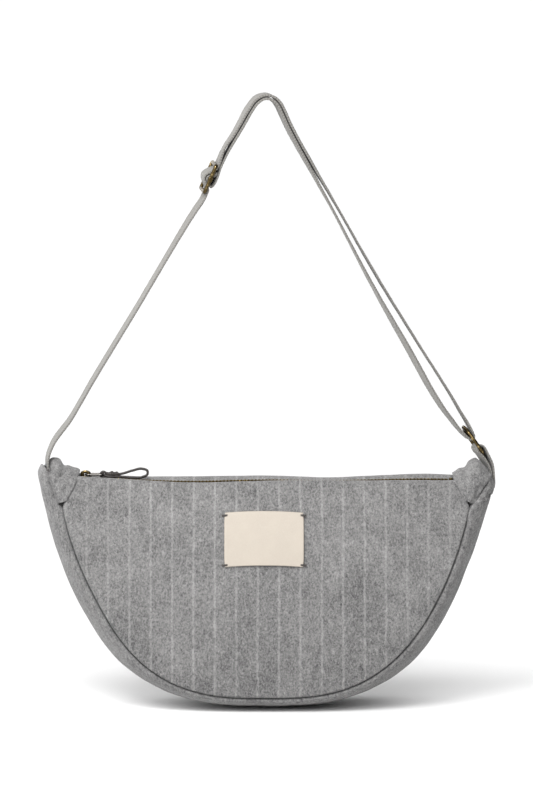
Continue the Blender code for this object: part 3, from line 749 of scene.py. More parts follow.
def chain_height(x):
    """Height of the middle of the zip's chain."""
    return (mouth_edge(x, FRONT_WAVE) + mouth_edge(x, BACK_WAVE)) / 2 - CHAIN_SINK


def distances(points, border):
    """How far each point is from a border line, in metres."""
    dense = []
    for start, end in zip(border, border[1:]):
        steps = 1 + int(np.linalg.norm(end - start) / (0.3 * MM))
        dense += [start + (end - start) * i / steps for i in range(steps)]
    dense.append(border[-1])
    tree = kdtree.KDTree(len(dense))
    for i, point in enumerate(dense):
        tree.insert(point, i)
    tree.balance()
    found = np.array([tree.find(point)[2] for point in points.reshape(-1, 3)])
    return found.reshape(points.shape[:-1])


def near(away, reach, start=0.0):
    """1 up to the start, falling to 0 over the reach."""
    return np.clip(1.0 - (away - start) / reach, 0.0, 1.0)


def rolled(close, radius):
    """Depth of a rounded edge that turns in towards its seam."""
    return radius * (1.0 - np.sqrt(1.0 - close**2))


def waves(points, size, offset):
    """Smooth random heights between -1 and 1, with bumps of the given size."""
    shift = Vector((offset, 2.3 * offset, -1.7 * offset))
    flat = points.reshape(-1, 3) / size
    heights = [noise.noise(Vector(point) + shift) for point in flat]
    return np.array(heights).reshape(points.shape[:-1])


def folds(points, rows, front_only=False):
    """Depth of the soft folds listed in a table, on both faces of the bag."""
    depth = np.zeros(points.shape[:-1])
    wobble = 1.2 * MM * waves(points, 6 * MM, 3.0)
    for x_from, z_from, x_to, z_to, width, fold_depth in rows:
        start = np.array((x_from, z_from)) * MM
        along = np.array((x_to, z_to)) * MM - start
        place = points[..., (0, 2)] - start
        share = np.clip((place @ along) / along.dot(along), 0.0, 1.0)
        away = np.linalg.norm(place - share[..., None] * along, axis=-1) + wobble
        depth += fold_depth * MM * bump(away, 0.0, width * MM)
    return depth * np.where(points[..., 1] < 0, 1.0, 0.0 if front_only else 0.8)


def eased(shares, power):
    """Shares from -1 to 1 that crowd together at both ends."""
    return np.sign(shares) * (1.0 - (1.0 - np.abs(shares)) ** power)


def border_point(side, inward, up, out):
    """A point given as shares of the end tab's reach, rise or drop and the mouth's depth."""
    x = side * (HALF_WIDTH - inward * TAB_REACH)
    rise = TAB_RISE if up > 0 else TAB_FOOT_DROP
    return x, out * MOUTH_HALF_DEPTH, SHOULDER_Z + up * rise


def turned(points):
    """Turns the slits for the webbing with the webbing, fading out down to the tabs' feet."""
    foot = SHOULDER_Z - TAB_FOOT_DROP
    weight = np.clip((points[..., 2] - foot) / (TAB_FOOT_DROP + SLIT_RISE), 0.0, 1.0)
    return points - columns_of(math.tan(STRAP_TURN) * points[..., 1] * weight, 0.0, 0.0)


def panel_grid(side, wave, columns=236, rows=150):
    """Points of a panel: its hem from the zip to the fold, its fall to the seam, and its two
    ends tucked under the tabs, with how far under each point is."""
    across = eased(np.linspace(-1.0, 1.0, columns), 1.25)
    half_top = ZIP_HALF - CLEAR
    tops = across * (half_top + PANEL_TUCK)
    under = np.clip((np.abs(tops) - half_top) / PANEL_TUCK, 0.0, 1.0)
    start = (TAB_FOOT_DROP + FOOT_LAP + SEAM_LAP) / SEAM_DROP
    seam = list(seam_line(SEAM_HALF_WIDTH - SEAM_IN, SEAM_DROP - SEAM_UP, start, 400))
    for end, foot in ((-1, LEFT_TAB_INNER[-1]), (1, RIGHT_TAB_INNER[-1])):
        x, _, z = border_point(end, *foot[1:])
        corner = np.array((x + end * (PANEL_TUCK - SEAM_LAP), z - FOOT_LAP + 2 * MM))
        seam = [corner] + seam if end < 0 else seam + [corner]
    seam = points_at_shares(np.array(seam), (across + 1.0) / 2.0)
    z_edge = mouth_edge(tops, wave) - FOLD_RADIUS
    depth = half_depth(tops, z_edge) - FOLD_RADIUS
    hem_y = CHAIN_WIDTH / 2 + HEM_GAP
    hem_z = chain_height(tops) + CHAIN_THICKNESS / 2 - 0.3 * MM
    lines = []
    for share in np.linspace(0.0, 1.0, HEM_ROWS):
        up = hem_z + (z_edge + FOLD_RADIUS - hem_z) * math.sin(share * math.pi / 2) ** 1.2
        lines.append(columns_of(tops, side * (hem_y + (depth - hem_y) * share), up))
    for angle in np.linspace(math.pi / 2, 0.0, 9)[1:]:
        out = side * (depth + FOLD_RADIUS * math.cos(angle))
        lines.append(columns_of(tops, out, z_edge + FOLD_RADIUS * math.sin(angle)))
    for share in 1.0 - (1.0 - np.linspace(0.0, 1.0, rows)[1:]) ** 1.3:
        x = tops + (seam[:, 0] - tops) * share
        z = z_edge + (seam[:, 1] - z_edge) * share
        lines.append(columns_of(x, side * half_depth(x, z), z))
    points = np.array(lines)
    under = np.broadcast_to(under, points.shape[:2])
    return (points, under) if side > 0 else (points[:, ::-1], under[:, ::-1])


def felt_panel(name, node, side, wave, material):
    """Striped felt panel with its folded top edge and its edges rolled into the seams."""
    points, under = panel_grid(side, wave)
    away = distances(points, points[-1])
    close = near(away, 1.9 * MM)
    puckered = near(away, 20 * MM)
    height = -rolled(close, 2.0 * MM)
    height += 0.35 * MM * puckered**2 * waves(points, 9 * MM, 5.0 + side) * (1.0 - close)
    height += (1.0 - puckered) * 0.55 * MM * waves(points, 48 * MM, 1.0 + side)
    height += 0.16 * MM * waves(points, 13 * MM, 2.0 + side)
    height -= folds(points, FRONT_FOLDS, front_only=side > 0)
    height -= PANEL_SINK * np.clip((under - 0.4) / 0.6, 0.0, 1.0)
    points = points + grid_normals(points) * height[..., None]
    # Painted shade within 1.2 mm of the seam goes in as the seam value
    sheet_from(name, points, material, node, FELT, near(away, 1.2 * MM))


def gusset_grid(sections=420, across=64):
    """Points of the gusset from one slit for the webbing, round the half moon, to the other."""
    half, drop = SEAM_HALF_WIDTH - SEAM_IN - SEAM_LAP, SEAM_DROP - SEAM_UP - SEAM_LAP
    seam = seam_line(half, drop, GUSSET_SEAM_START, GUSSET_SECTIONS)
    ridge = outline(HALF_WIDTH, BAG_DROP, GUSSET_RIDGE_START, GUSSET_SECTIONS)
    depth = half_depth(*seam.T) - FELT - CLEAR
    lower = columns_of(seam[:, 0], depth, seam[:, 1])
    lower = np.hstack([lower, columns_of(ridge[:, 0], 0.0, ridge[:, 1])])
    left, right = (
        [border_point(side, *row[1:4]) + border_point(side, *row[4:], 0.0) for row in rows]
        for side, rows in ((-1, LEFT_GUSSET_END), (1, RIGHT_GUSSET_END))
    )
    pairs = np.concatenate([left, lower, right[::-1]])
    share = (SHOULDER_Z - pairs[:, 5]) / BAG_DROP
    fuller = RIDGE_FULLER * bump(share, 0.82, 0.12)
    narrower = RIGHT_RIDGE_NARROWER * bump(share, 0.42, 0.16) * (pairs[:, 3] > 0)
    pairs[:, 3] *= 1.0 + fuller - narrower
    marks = lengths_along(pairs)
    values = smooth_values(marks, pairs, np.linspace(0.0, marks[-1], sections))
    angles = eased(np.linspace(-1.0, 1.0, across), 1.15) * math.pi / 2
    edge = values[:, None, :3]
    points = edge + (values[:, None, 3:] - edge) * np.cos(angles)[None, :, None]
    points[..., 1] = values[:, 1:2] * np.sin(angles)
    return turned(points)


def felt_gusset(material):
    """Plain felt strip round the bag's edge, with rolled edges along both seams."""
    points = gusset_grid()
    border = np.concatenate([points[:, 0], points[-1, 1:-1], points[::-1, -1]])
    away = distances(points, border)
    close = near(away, 2.1 * MM, SEAM_LAP)
    height = 2.2 * MM - rolled(close, 3.6 * MM)
    height *= np.where(close > 0, 1.0, near(away, 9 * MM, 5 * MM))
    ends = np.minimum(np.arange(len(points)), np.arange(len(points))[::-1])[:, None]
    height *= np.clip(ends / 10.0, 0.0, 1.0)
    height += 0.35 * MM * waves(points, 16 * MM, 7.0) * (1.0 - close)
    height += 0.25 * MM * near(away, 14 * MM) * waves(points, 7 * MM, 8.0) * (1.0 - close)
    height -= folds(points, LEFT_END_FOLDS) + folds(points, RIGHT_END_FOLDS)
    fuller = bump(points[..., 2], -0.315, 9 * MM) * (points[..., 0] > 0)
    height += 1.3 * MM * fuller * (1.0 - close)
    points = points + grid_normals(points) * height[..., None]
    # Painted shade along both seams, fainter towards the strip's two ends
    seam = near(away, 1.3 * MM, SEAM_LAP) * np.clip(0.3 + ends / 30.0, 0.0, 1.0)
    sheet_from("gusset_felt", points, material, "gusset", FELT, seam)


def tab_border(side, rows, at):
    points = [border_point(side, *row[1:]) for row in rows]
    marks = lengths_along(points)
    return smooth_values(marks / marks[-1], points, at)


def tab_grid(side, inner_rows, outer_rows, humps, around_count=150, across_count=70):
    """Points of an end tab from the front seam over the zip to the back seam, its inner lip
    lapping the panels and its outer edge tucked under the gusset, and both distances."""
    around = np.linspace(-1.0, 1.0, around_count)
    inner = tab_border(side, inner_rows, np.abs(around))
    outer = tab_border(side, outer_rows, np.abs(around))
    width = np.linalg.norm(outer - inner, axis=1)
    reach = eased(np.linspace(-1.0, 1.0, across_count), 1.2)[:, None]
    across = 0.5 + reach * (0.5 + np.where(reach < 0, TAB_LIP, TAB_TUCK) / width)
    held = np.clip(across, 0.0, 1.0)
    ridge = TAB_HUMP * smooth_values(*zip(*humps), held)
    points = inner[None] + (outer - inner)[None] * across[..., None]
    puff = TAB_PUFF * np.sin(math.pi * held) * np.sin(math.pi * np.abs(around))
    points[..., 1] = np.where(around < 0, -1.0, 1.0) * (points[..., 1] + puff)
    points[..., 2] += ridge * (1.0 - around**2) ** 2
    points += (turned(points) - points) * held[..., None]
    return points, across * width, (1.0 - across) * width


def felt_tab(name, node, side, inner_rows, outer_rows, humps, fold_rows, lip, material):
    """Felt tab over one end of the zip, lumpy and softly folded."""
    points, from_inner, from_outer = tab_grid(side, inner_rows, outer_rows, humps)
    if side > 0:
        points, from_inner, from_outer = points[::-1], from_inner[::-1], from_outer[::-1]
    lipped = near(from_inner, TAB_LIP + 2.0 * MM, -TAB_LIP)
    tucked = near(from_outer, TAB_TUCK + 1.4 * MM, -TAB_TUCK)
    raised = lip > MM
    edge = rolled(lipped, lip + 0.5 * MM) if raised else (lip + 0.12 * MM) * lipped**2
    height = lip - edge - rolled(tucked, 3.4 * MM)
    height += 0.45 * MM * waves(points, 7 * MM, 11.0 + side) * (1.0 - lipped)
    height += 0.25 * MM * waves(points, 3.2 * MM, 12.0 + side) * (1.0 - lipped)
    height -= folds(points, fold_rows)
    points = points + grid_normals(points) * height[..., None]
    # Painted shade at the edge tucked under the gusset, a painted shadow under a raised lip, and
    # painted shade in the folds
    seam = 0.45 * near(from_outer, 1.6 * MM) * (1.0 if raised else 0.3)
    if raised:
        seam = np.maximum(seam, 0.75 * near(from_inner, 0.9 * MM, -TAB_LIP))
    seam = np.maximum(seam, 220.0 * folds(points, fold_rows))
    sheet_from(name, points, material, node, FELT, seam)


class Nodes:
    """Short calls for the nodes of one tree."""

    def __init__(self, tree):
        self.tree = tree

    def put(self, value, socket):
        """Links a value to a socket, or stores it there."""
        if isinstance(value, bpy.types.NodeSocket):
            self.tree.links.new(value, socket)
        else:
            socket.default_value = value

    def add(self, kind, values=None, **choices):
        """A node with its choices made, its sockets set and its links drawn."""
        item = self.tree.nodes.new(kind)
        for key, value in choices.items():
            setattr(item, key, value)
        for socket, value in (values or {}).items():
            self.put(value, item.inputs[socket])
        return item

    def math(self, operation, first, second=0.0, third=0.0):
        values = {0: first, 1: second, 2: third}
        return self.add("ShaderNodeMath", values, operation=operation).outputs[0]

    def plus(self, first, second):
        return self.math("ADD", first, second)

    def less(self, first, second):
        return self.math("SUBTRACT", first, second)

    def times(self, first, second):
        return self.math("MULTIPLY", first, second)

    def scaled(self, value, factor, added):
        return self.math("MULTIPLY_ADD", value, factor, added)

    def absolute(self, value):
        return self.math("ABSOLUTE", value)

    def mixed(self, share, first, second):
        """Mix of two colours."""
        values = {0: share}
        for socket, value in ((6, first), (7, second)):
            values[socket] = value if isinstance(value, bpy.types.NodeSocket) else (*value, 1.0)
        return self.add("ShaderNodeMix", values, data_type="RGBA").outputs[2]

    def between(self, value, low, high, to_low=0.0, to_high=1.0):
        """Value eased from one range to another."""
        values = {0: value, 1: low, 2: high, 3: to_low, 4: to_high}
        ranged = self.add("ShaderNodeMapRange", values, interpolation_type="SMOOTHSTEP")
        return ranged.outputs[0]

    def stretched(self, vector, scale, turn=(0.0, 0.0, 0.0)):
        return self.add("ShaderNodeMapping", {0: vector, 2: turn, 3: scale}).outputs[0]

    def speckle(self, vector, size, detail=3.0, rough=0.6, distortion=0.0):
        """Noise with features of about the given size in metres."""
        values = {"Vector": vector, "Scale": 1.0 / size, "Detail": detail, "Roughness": rough}
        values["Distortion"] = distortion
        return self.add("ShaderNodeTexNoise", values).outputs[0]

    def bumped(self, height, distance, strength, before=None):
        values = {"Height": height, "Distance": distance, "Strength": strength}
        if before is not None:
            values["Normal"] = before
        return self.add("ShaderNodeBump", values).outputs[0]

    def split(self, vector):
        return self.add("ShaderNodeSeparateXYZ", {0: vector}).outputs

    def stored(self, name, output):
        return self.add("ShaderNodeAttribute", attribute_name=name).outputs[output]


class Paint(Nodes):
    """A new material: its tree, its surface shader and the object's own coordinates."""

    def __init__(self, name, roughness, **surface):
        self.material = bpy.data.materials.new(name)
        self.material.use_nodes = True
        super().__init__(self.material.node_tree)
        self.place = self.tree.nodes.new("ShaderNodeTexCoord").outputs["Object"]
        self.cover(Roughness=roughness, **surface)

    def cover(self, **surface):
        """Sets the surface's sockets, and gives back the material."""
        shader = self.tree.nodes["Principled BSDF"]
        for name, value in surface.items():
            self.put(value, shader.inputs[name.replace("_", " ")])
        return self.material


def cloth_paint(name, roughness, sheen):
    """A dull surface with the soft sheen of its fibres."""
    paint = Paint(name, roughness, Sheen_Weight=sheen, Sheen_Roughness=0.45)
    paint.cover(Specular_IOR_Level=0.15)
    return paint


def toned(colour, factor):
    return tuple(min(1.0, factor * value) for value in colour)


def fibre_streaks(paint, place, size):
    """Short fibres that lie in three directions, between 0 and 1."""
    streaks = None
    for turn in (0.35, 1.45, 2.6):
        laid = paint.stretched(place, (1.0, 1.0, 0.22), (0.2, turn, 0.3))
        grain = paint.speckle(laid, size, 2.0, 0.55)
        streaks = grain if streaks is None else paint.math("MAXIMUM", streaks, grain)
    return streaks


def felt_material(name, striped):
    """Melange wool felt: clumps, light and dark fibres, and the chalk pinstripe if striped."""
    colours = settings().felt
    paint = cloth_paint(name, 0.94, 0.22)
    place = paint.place
    clumps = paint.speckle(paint.stretched(place, (1.0, 1.0, 0.75)), 1.3 * MM, 4.0, 0.62, 0.4)
    grain = paint.speckle(place, 0.55 * MM)
    broad = paint.speckle(place, 26 * MM, 2.0, 0.5)
    light = fibre_streaks(paint, place, 0.42 * MM)
    dark_place = paint.stretched(place, (1.0, 1.0, 1.0), (0.9, 0.4, 1.3))
    dark = fibre_streaks(paint, dark_place, 0.5 * MM)
    tufts = paint.speckle(paint.stretched(place, (1.0, 1.0, 0.55)), 3.6 * MM, 3.0, 0.6, 0.8)
    tone = paint.scaled(clumps, 0.85, 0.075)
    for spots, strength in ((grain, 0.45), (tufts, 0.36), (broad, 0.22)):
        tone = paint.scaled(spots, strength, paint.less(tone, strength / 2))
    x, _, z = paint.split(place)
    # Painted shade: the striped panels' felt grows darker towards the bottom
    if striped:
        tone = paint.plus(tone, paint.between(z, -0.46, -0.32, -0.028, 0.01))
    ramp = paint.add("ShaderNodeValToRGB", {0: tone})
    stops = ramp.color_ramp.elements
    stops.new(0.50)
    shades = (colours.dark, colours.grey, colours.light)
    for stop, position, shade in zip(stops, (0.26, 0.50, 0.80), shades):
        stop.position = position
        stop.color = (*shade, 1.0)
    colour = ramp.outputs[0]
    if striped:
        colour = paint.mixed(stripe_share(paint, x), colour, colours.stripe)
    colour = paint.mixed(paint.between(light, 0.64, 0.80, 0.0, 0.30), colour, colours.light)
    colour = paint.mixed(paint.between(dark, 0.62, 0.78, 0.0, 0.55), colour, colours.dark)
    # Painted shade, in uneven patches, along the seams, in the tabs' folds and under a raised lip
    uneven = paint.between(paint.speckle(place, 5 * MM), 0.35, 0.6, 0.5, 0.85)
    painted_seam_shade = paint.times(paint.between(paint.stored("seam", "Fac"), 0.15, 1.0), uneven)
    colour = paint.mixed(painted_seam_shade, colour, toned(colours.dark, 0.35))
    relief = paint.scaled(light, 0.6, paint.times(clumps, 0.9))
    fine = paint.bumped(grain, 0.35 * MM, 0.6, paint.bumped(relief, 0.9 * MM, 0.55))
    return paint.cover(Base_Color=colour, Normal=fine)


def stripe_share(paint, x):
    """How much pinstripe shows: broken chalk lines at an even spacing, fainter at both ends."""
    felt = settings().felt
    wobble = paint.speckle(paint.stretched(paint.place, (0.2, 0.2, 1.0)), 14 * MM)
    drifted = paint.plus(x, paint.scaled(wobble, 2.0 * MM, -1.0 * MM))
    turns = paint.math("DIVIDE", paint.less(drifted, felt.stripe_start), felt.stripe_spacing)
    away = paint.absolute(paint.less(turns, paint.math("ROUND", turns)))
    half = 0.5 * felt.stripe_width / felt.stripe_spacing
    line = paint.between(away, 0.35 * half, 1.5 * half, 1.0, 0.0)
    broken = paint.speckle(paint.stretched(paint.place, (1.0, 1.0, 0.35)), 1.6 * MM, 3.0, 0.7)
    chalk = paint.times(line, paint.between(broken, 0.32, 0.66, 0.15, 1.0))
    return paint.times(chalk, paint.between(paint.absolute(x), 0.085, 0.15, 0.37, 0.20))


def webbing_material(name):
    """Flat woven webbing: fine ribs on the face and a darker, coarser selvedge."""
    colours = settings().webbing
    paint = cloth_paint(name, 0.85, 0.12)
    across, along, _ = paint.split(paint.stored("cloth", "Vector"))
    ribs = paint.times(along, 2 * math.pi / colours.rib)
    cords = paint.times(across, 2 * math.pi / (1.25 * colours.rib))
    weave = paint.times(paint.math("SINE", ribs), paint.math("COSINE", cords))
    weave = paint.scaled(weave, 0.5, 0.5)
    slant = paint.math("SINE", paint.plus(cords, paint.times(ribs, 0.5)))
    slant = paint.scaled(slant, 0.5, 0.5)
    edge = paint.between(paint.absolute(across), 9.9 * MM, 10.6 * MM)
    pattern = paint.add("ShaderNodeMix", {0: edge, 2: weave, 3: slant}).outputs[0]
    heather = paint.speckle(paint.place, 1.2 * MM, 4.0, 0.65)
    worn = paint.between(paint.split(paint.place)[2], -0.16, -0.10, 0.3, 0.8)
    flecks = paint.times(paint.between(heather, 0.3, 0.7), worn)
    face = paint.mixed(flecks, colours.face, colours.selvedge)
    face = paint.mixed(paint.times(weave, 0.22), face, (0.40, 0.39, 0.365))
    uneven = paint.scaled(heather, 1.6, paint.less(slant, 0.8))
    rim = paint.mixed(paint.between(uneven, 0.1, 1.1), colours.selvedge, colours.face)
    relief = paint.bumped(paint.scaled(heather, 0.35, pattern), 0.16 * MM, 0.6)
    return paint.cover(Base_Color=paint.mixed(paint.times(edge, 0.85), face, rim), Normal=relief)


def tape_material(name):
    """Twill zip tape."""
    tape = settings().webbing.tape
    paint = cloth_paint(name, 0.88, 0.1)
    x, y, _ = paint.split(paint.place)
    slant = paint.times(paint.plus(y, x), 2 * math.pi / (0.7 * MM))
    twill = paint.scaled(paint.math("SINE", slant), 0.5, 0.5)
    tone = paint.scaled(twill, 0.4, paint.times(paint.speckle(paint.place, 0.9 * MM), 0.6))
    colour = paint.mixed(paint.between(tone, 0.2, 0.8), tape, toned(tape, 1.7))
    return paint.cover(Base_Color=colour, Normal=paint.bumped(twill, 0.15 * MM, 0.7))


def metal_material(name, dark, bright, roughness, wear):
    """Metal with a dark layer, rubbed bright in places, and fine scratches."""
    paint = Paint(name, roughness, Metallic=1.0)
    patches = paint.speckle(paint.place, 3.0 * MM, 4.0)
    grain = paint.speckle(paint.place, 0.5 * MM, 2.0, 0.5)
    colour = paint.mixed(paint.between(patches, 0.62 - wear, 0.78 - wear), dark, bright)
    colour = paint.mixed(paint.times(grain, 0.25), colour, (0.02, 0.015, 0.01))
    rough = paint.between(patches, 0.3, 0.7, roughness + 0.1, roughness - 0.06)
    laid = paint.stretched(paint.place, (1.0, 1.0, 0.1), (0.4, 0.7, 0.1))
    scratches = paint.bumped(paint.speckle(laid, 0.3 * MM, 2.0), 0.03 * MM, 0.5)
    return paint.cover(Base_Color=colour, Roughness=rough, Normal=scratches)


def leather_material(name):
    """Waxed leather lace with a fine grain and rubbed high spots."""
    leather = settings().trim.leather
    paint = Paint(name, 0.5, Specular_IOR_Level=0.35)
    grain = paint.speckle(paint.place, 0.45 * MM, 4.0, 0.65)
    patches = paint.speckle(paint.place, 3.0 * MM, 2.0, 0.5)
    tone = paint.scaled(grain, 0.6, paint.times(patches, 0.4))
    colour = paint.mixed(paint.between(tone, 0.42, 0.72), leather, toned(leather, 2.6))
    rough = paint.between(grain, 0.3, 0.7, 0.62, 0.42)
    relief = paint.bumped(grain, 0.12 * MM, 0.6)
    return paint.cover(Base_Color=colour, Roughness=rough, Normal=relief)


def label_material(name):
    """Smooth cream patch with soft clouds and a fine pebble grain."""
    cream = settings().trim.label
    paint = Paint(name, 0.62)
    grain = paint.speckle(paint.place, 0.5 * MM, 3.0, 0.5)
    cloud = paint.speckle(paint.place, 14 * MM, 3.0, 0.55)
    colour = paint.mixed(paint.between(cloud, 0.35, 0.7), toned(cream, 0.96), cream)
    colour = paint.mixed(paint.between(grain, 0.4, 0.7, 0.0, 0.5), colour, toned(cream, 1.08))
    rough = paint.between(grain, 0.3, 0.7, 0.7, 0.55)
    relief = paint.bumped(grain, 0.08 * MM, 0.5)
    return paint.cover(Base_Color=colour, Roughness=rough, Normal=relief)


def thread_material(name):
    """Twisted sewing thread."""
    thread = settings().trim.thread
    paint = cloth_paint(name, 0.7, 0.1)
    laid = paint.stretched(paint.place, (1.0, 1.0, 3.0))
    twist = paint.speckle(laid, 0.4 * MM, 2.0, 0.5)
    colour = paint.mixed(paint.between(twist, 0.35, 0.7), thread, toned(thread, 2.2))
    return paint.cover(Base_Color=colour, Normal=paint.bumped(twist, 0.08 * MM, 0.7))


def made_once(make, name, *rest):
    """The material with this name, made on its first use."""
    return bpy.data.materials.get(name) or make(name, *rest)


def brass(name, wear):
    trim = settings().trim
    return made_once(metal_material, name, trim.brass, trim.worn_brass, 0.3, wear)


def zip_brass(name, shape, node):
    object_from(name, shape, brass("dark_zip_brass", 0.06), node)


def stitches(name, shapes):
    object_from(name, joined(shapes), made_once(thread_material, "stitch_thread"))


def zip_tape(name, node, side, wave, left, material):
    """Half of the zip tape, from under the panel's fold to the chain."""
    x = np.linspace(left, ZIP_HALF - CLEAR, 260)
    edge_z = mouth_edge(x, wave) - FOLD_RADIUS
    outer = half_depth(x, edge_z) - FOLD_RADIUS - CLEAR
    inner = CHAIN_WIDTH / 2 + CLEAR
    low = chain_height(x)
    middle_z = (edge_z + low - TAPE_THICKNESS) / 2
    start_z = edge_z - TAPE_THICKNESS / 2
    lines = []
    for share in np.linspace(0.0, 1.0, 12):
        z = (1 - share) ** 2 * start_z + 2 * share * (1 - share) * middle_z + share**2 * low
        lines.append(columns_of(x, side * (outer + (inner - outer) * share), z))
    points = np.array(lines)
    points[..., 2] += 0.12 * MM * waves(points, 8 * MM, 20.0 + side)
    if side > 0:
        points = points[:, ::-1]
    sheet_from(name, points, material, node, TAPE_THICKNESS, offset=0.0)


def zip_chain(left, right):
    """Closed chain: teeth from the two tapes by turns, each a clamp on its tape and a head."""
    shapes = []
    count = int((right - left) / (TOOTH_PITCH / 2))
    for i in range(count):
        x = left + (i + 0.5) * (right - left) / count
        side = 1 if i % 2 else -1
        z = float(chain_height(np.array(x))) + TEETH_LIFT
        clamp = (x, side * (CHAIN_WIDTH / 2 - 0.6 * MM), z - side * CHAIN_LEAN)
        shapes.append(rounded_block(clamp, (1.4 * MM, 1.5 * MM, 2.5 * MM), 0.35 * MM))
        head = (x, side * 0.8 * MM, z - 0.5 * MM - 0.4 * side * CHAIN_LEAN)
        shapes.append(rounded_block(head, (1.2 * MM, 2.9 * MM, 1.4 * MM), 0.3 * MM))
    zip_brass("zip_teeth_row", joined(shapes), "zip_teeth")


def slider_outline(length, width):
    """Outline of the zip slider's plates: wide and round at one end, narrow at the other."""
    angles = math.pi * np.linspace(0.0, 1.0, 22)
    wide = width / 2 * (0.86 + 0.14 * np.cos(2 * angles + 2.6))
    points = list(zip(length / 2 * np.cos(angles), wide * np.abs(np.sin(angles)) ** 0.42))
    return points + [(x, -y) for x, y in points[-2:0:-1]]


def zip_slider_parts(centre):
    """Slider: two shaped plates, a wedge and side lips between them, and the bridge."""
    slot = CHAIN_THICKNESS + 2 * CLEAR
    high = slot / 2 + ZIP_SLIDER_PLATE
    plates = slider_outline(ZIP_SLIDER_LENGTH, ZIP_SLIDER_WIDTH)
    shapes = [plate(plates, slot / 2, high, 0.3 * MM), plate(plates, -high, -slot / 2, 0.3 * MM)]
    wedge = (-ZIP_SLIDER_LENGTH / 2 + 1.2 * MM, 0.0, 0.0)
    shapes.append(rounded_block(wedge, (1.8 * MM, 2.4 * MM, slot + ZIP_SLIDER_PLATE), 0.3 * MM))
    lip_y, lip_z = ZIP_SLIDER_WIDTH / 2 - 0.5 * MM, slot / 2 - 0.2 * MM
    for y, z in ((-lip_y, lip_z), (-lip_y, -lip_z), (lip_y, lip_z), (lip_y, -lip_z)):
        lip = (0.6 * MM, y, z)
        shapes.append(rounded_block(lip, (5.2 * MM, 0.8 * MM, 1.0 * MM), 0.25 * MM))
    rise = PULL_WIRE + 3 * CLEAR + BRIDGE_WIRE / 2
    half = BRIDGE_LENGTH / 2
    foot_z = high - ZIP_SLIDER_PLATE / 2
    angles = np.linspace(math.pi, 0.0, 17)
    curve = columns_of(half * np.cos(angles), 0.0, high + rise * (0.55 + 0.45 * np.sin(angles)))
    arch = np.concatenate([[(-half, 0.0, foot_z)], curve, [(half, 0.0, foot_z)]])
    shapes.append(sweep(arch, 0.95 * MM, 14, flat=0.8, flat_axis=(0.0, 1.0, 0.0)))
    for side in (-1, 1):
        shapes.append(sweep(arch + (0.0, side * 1.5 * MM, 0.0), 0.6 * MM, 10))
        post = (side * (half - 1.0 * MM), 0.0, high + 0.45 * rise)
        shapes.append(rounded_block(post, (2.2 * MM, 4.0 * MM, 1.1 * rise), 0.45 * MM))
    liner = curve * (0.8, 1.0, 1.0) - (0.0, 0.0, 0.5 * MM)
    shapes.append(sweep(liner, 0.9 * MM, 12, flat=1.6, flat_axis=(0.0, 1.0, 0.0)))
    return moved(joined(shapes), centre)


def rounded_loop(low, high, half, corner):
    """Points of an oblong loop in the XY plane with round corners."""
    x = np.repeat((low + corner, high - corner, high - corner, low + corner), 9)
    y = np.repeat((corner - half, corner - half, half - corner, half - corner), 9)
    starts = np.repeat((180.0, 270.0, 0.0, 90.0), 9)
    angles = np.radians(starts + np.tile(np.linspace(0.0, 90.0, 9), 4))
    return columns_of(x + corner * np.cos(angles), y + corner * np.sin(angles), 0.0)


def route_line(rows):
    """Middle line of a webbing route with its marks, points and spreads."""
    _, across, down, spreads = (np.array(column) for column in zip(*rows))
    points = columns_of(across * HALF_WIDTH, 0.0, APEX_Z - down * STRAP_DROP)
    return lengths_along(points), points, spreads


def frame_at(line, mark):
    """Point, direction, webbing width direction and outward direction on a middle line."""
    marks, points, _ = line
    held = min(max(mark, 0.0), marks[-1])
    steps = (held, max(mark - 0.5 * MM, 0.0), min(mark + 0.5 * MM, marks[-1]))
    point, low, high = smooth_values(marks, points, steps)
    ahead = Vector(high - low).normalized()
    turn = Vector((-math.sin(STRAP_TURN), math.cos(STRAP_TURN), 0.0))
    wide = (turn - ahead * turn.dot(ahead)).normalized()
    return Vector(point) + ahead * (mark - held), ahead, wide, ahead.cross(wide)


def ring_fold(centre_mark, side):
    """Half turn of webbing round the ring's wire, from its outward to its inward face."""
    inner = math.sqrt((RING_INNER / 2) ** 2 - (WEBBING_WIDTH / 2) ** 2)
    reach = inner - CLEAR - WEBBING / 2
    radius = RING_WIRE / 2 + CLEAR + WEBBING / 2
    start = centre_mark - side * (reach + radius)
    return [
        (start + side * radius * math.sin(angle), radius * math.cos(angle))
        for angle in np.linspace(0.0, math.pi, 7)
    ]


def strap_route(line):
    """The strap's single length, from its root to its sewn end on the slider's middle bar."""
    marks, _, spreads = line
    names = [row[0] for row in STRAP_ROUTE]
    middle = marks[names.index("slider")]
    reach = STRAP_SLIDER_LENGTH / 2 - STRAP_SLIDER_WIRE / 2
    beside = STRAP_SLIDER_WIRE / 2 + CLEAR + WEBBING / 2
    stacked = beside + WEBBING + CLEAR
    offsets = STRAND_OFFSET + spreads * (STRAND_SPREAD - STRAND_OFFSET)
    doubled = list(zip(marks, offsets))[names.index("left of top") : -1]
    route = [(mark, 0.0) for mark in marks[: names.index("below slider")]]
    route += [(middle + along * reach, level * beside) for along, level in SLIDER_ENTRY]
    for share in np.linspace(-SLIDER_WEAVE_REACH, SLIDER_WEAVE_REACH, 13):
        wave = (1.0 + math.cos(math.pi * min(abs(share), 1.0))) / 2
        route.append((middle + share * reach, -beside + (beside + stacked) * wave))
    route += [(middle + along * reach, level * beside) for along, level in SLIDER_EXIT]
    route += doubled + ring_fold(marks[-1], 1)
    route += [(mark, -offset) for mark, offset in reversed(doubled)]
    route += [
        (middle + along * reach, inner * (stacked + CLEAR) + level * beside + clear * CLEAR)
        for along, inner, level, clear in SEWN_END
    ]
    return route


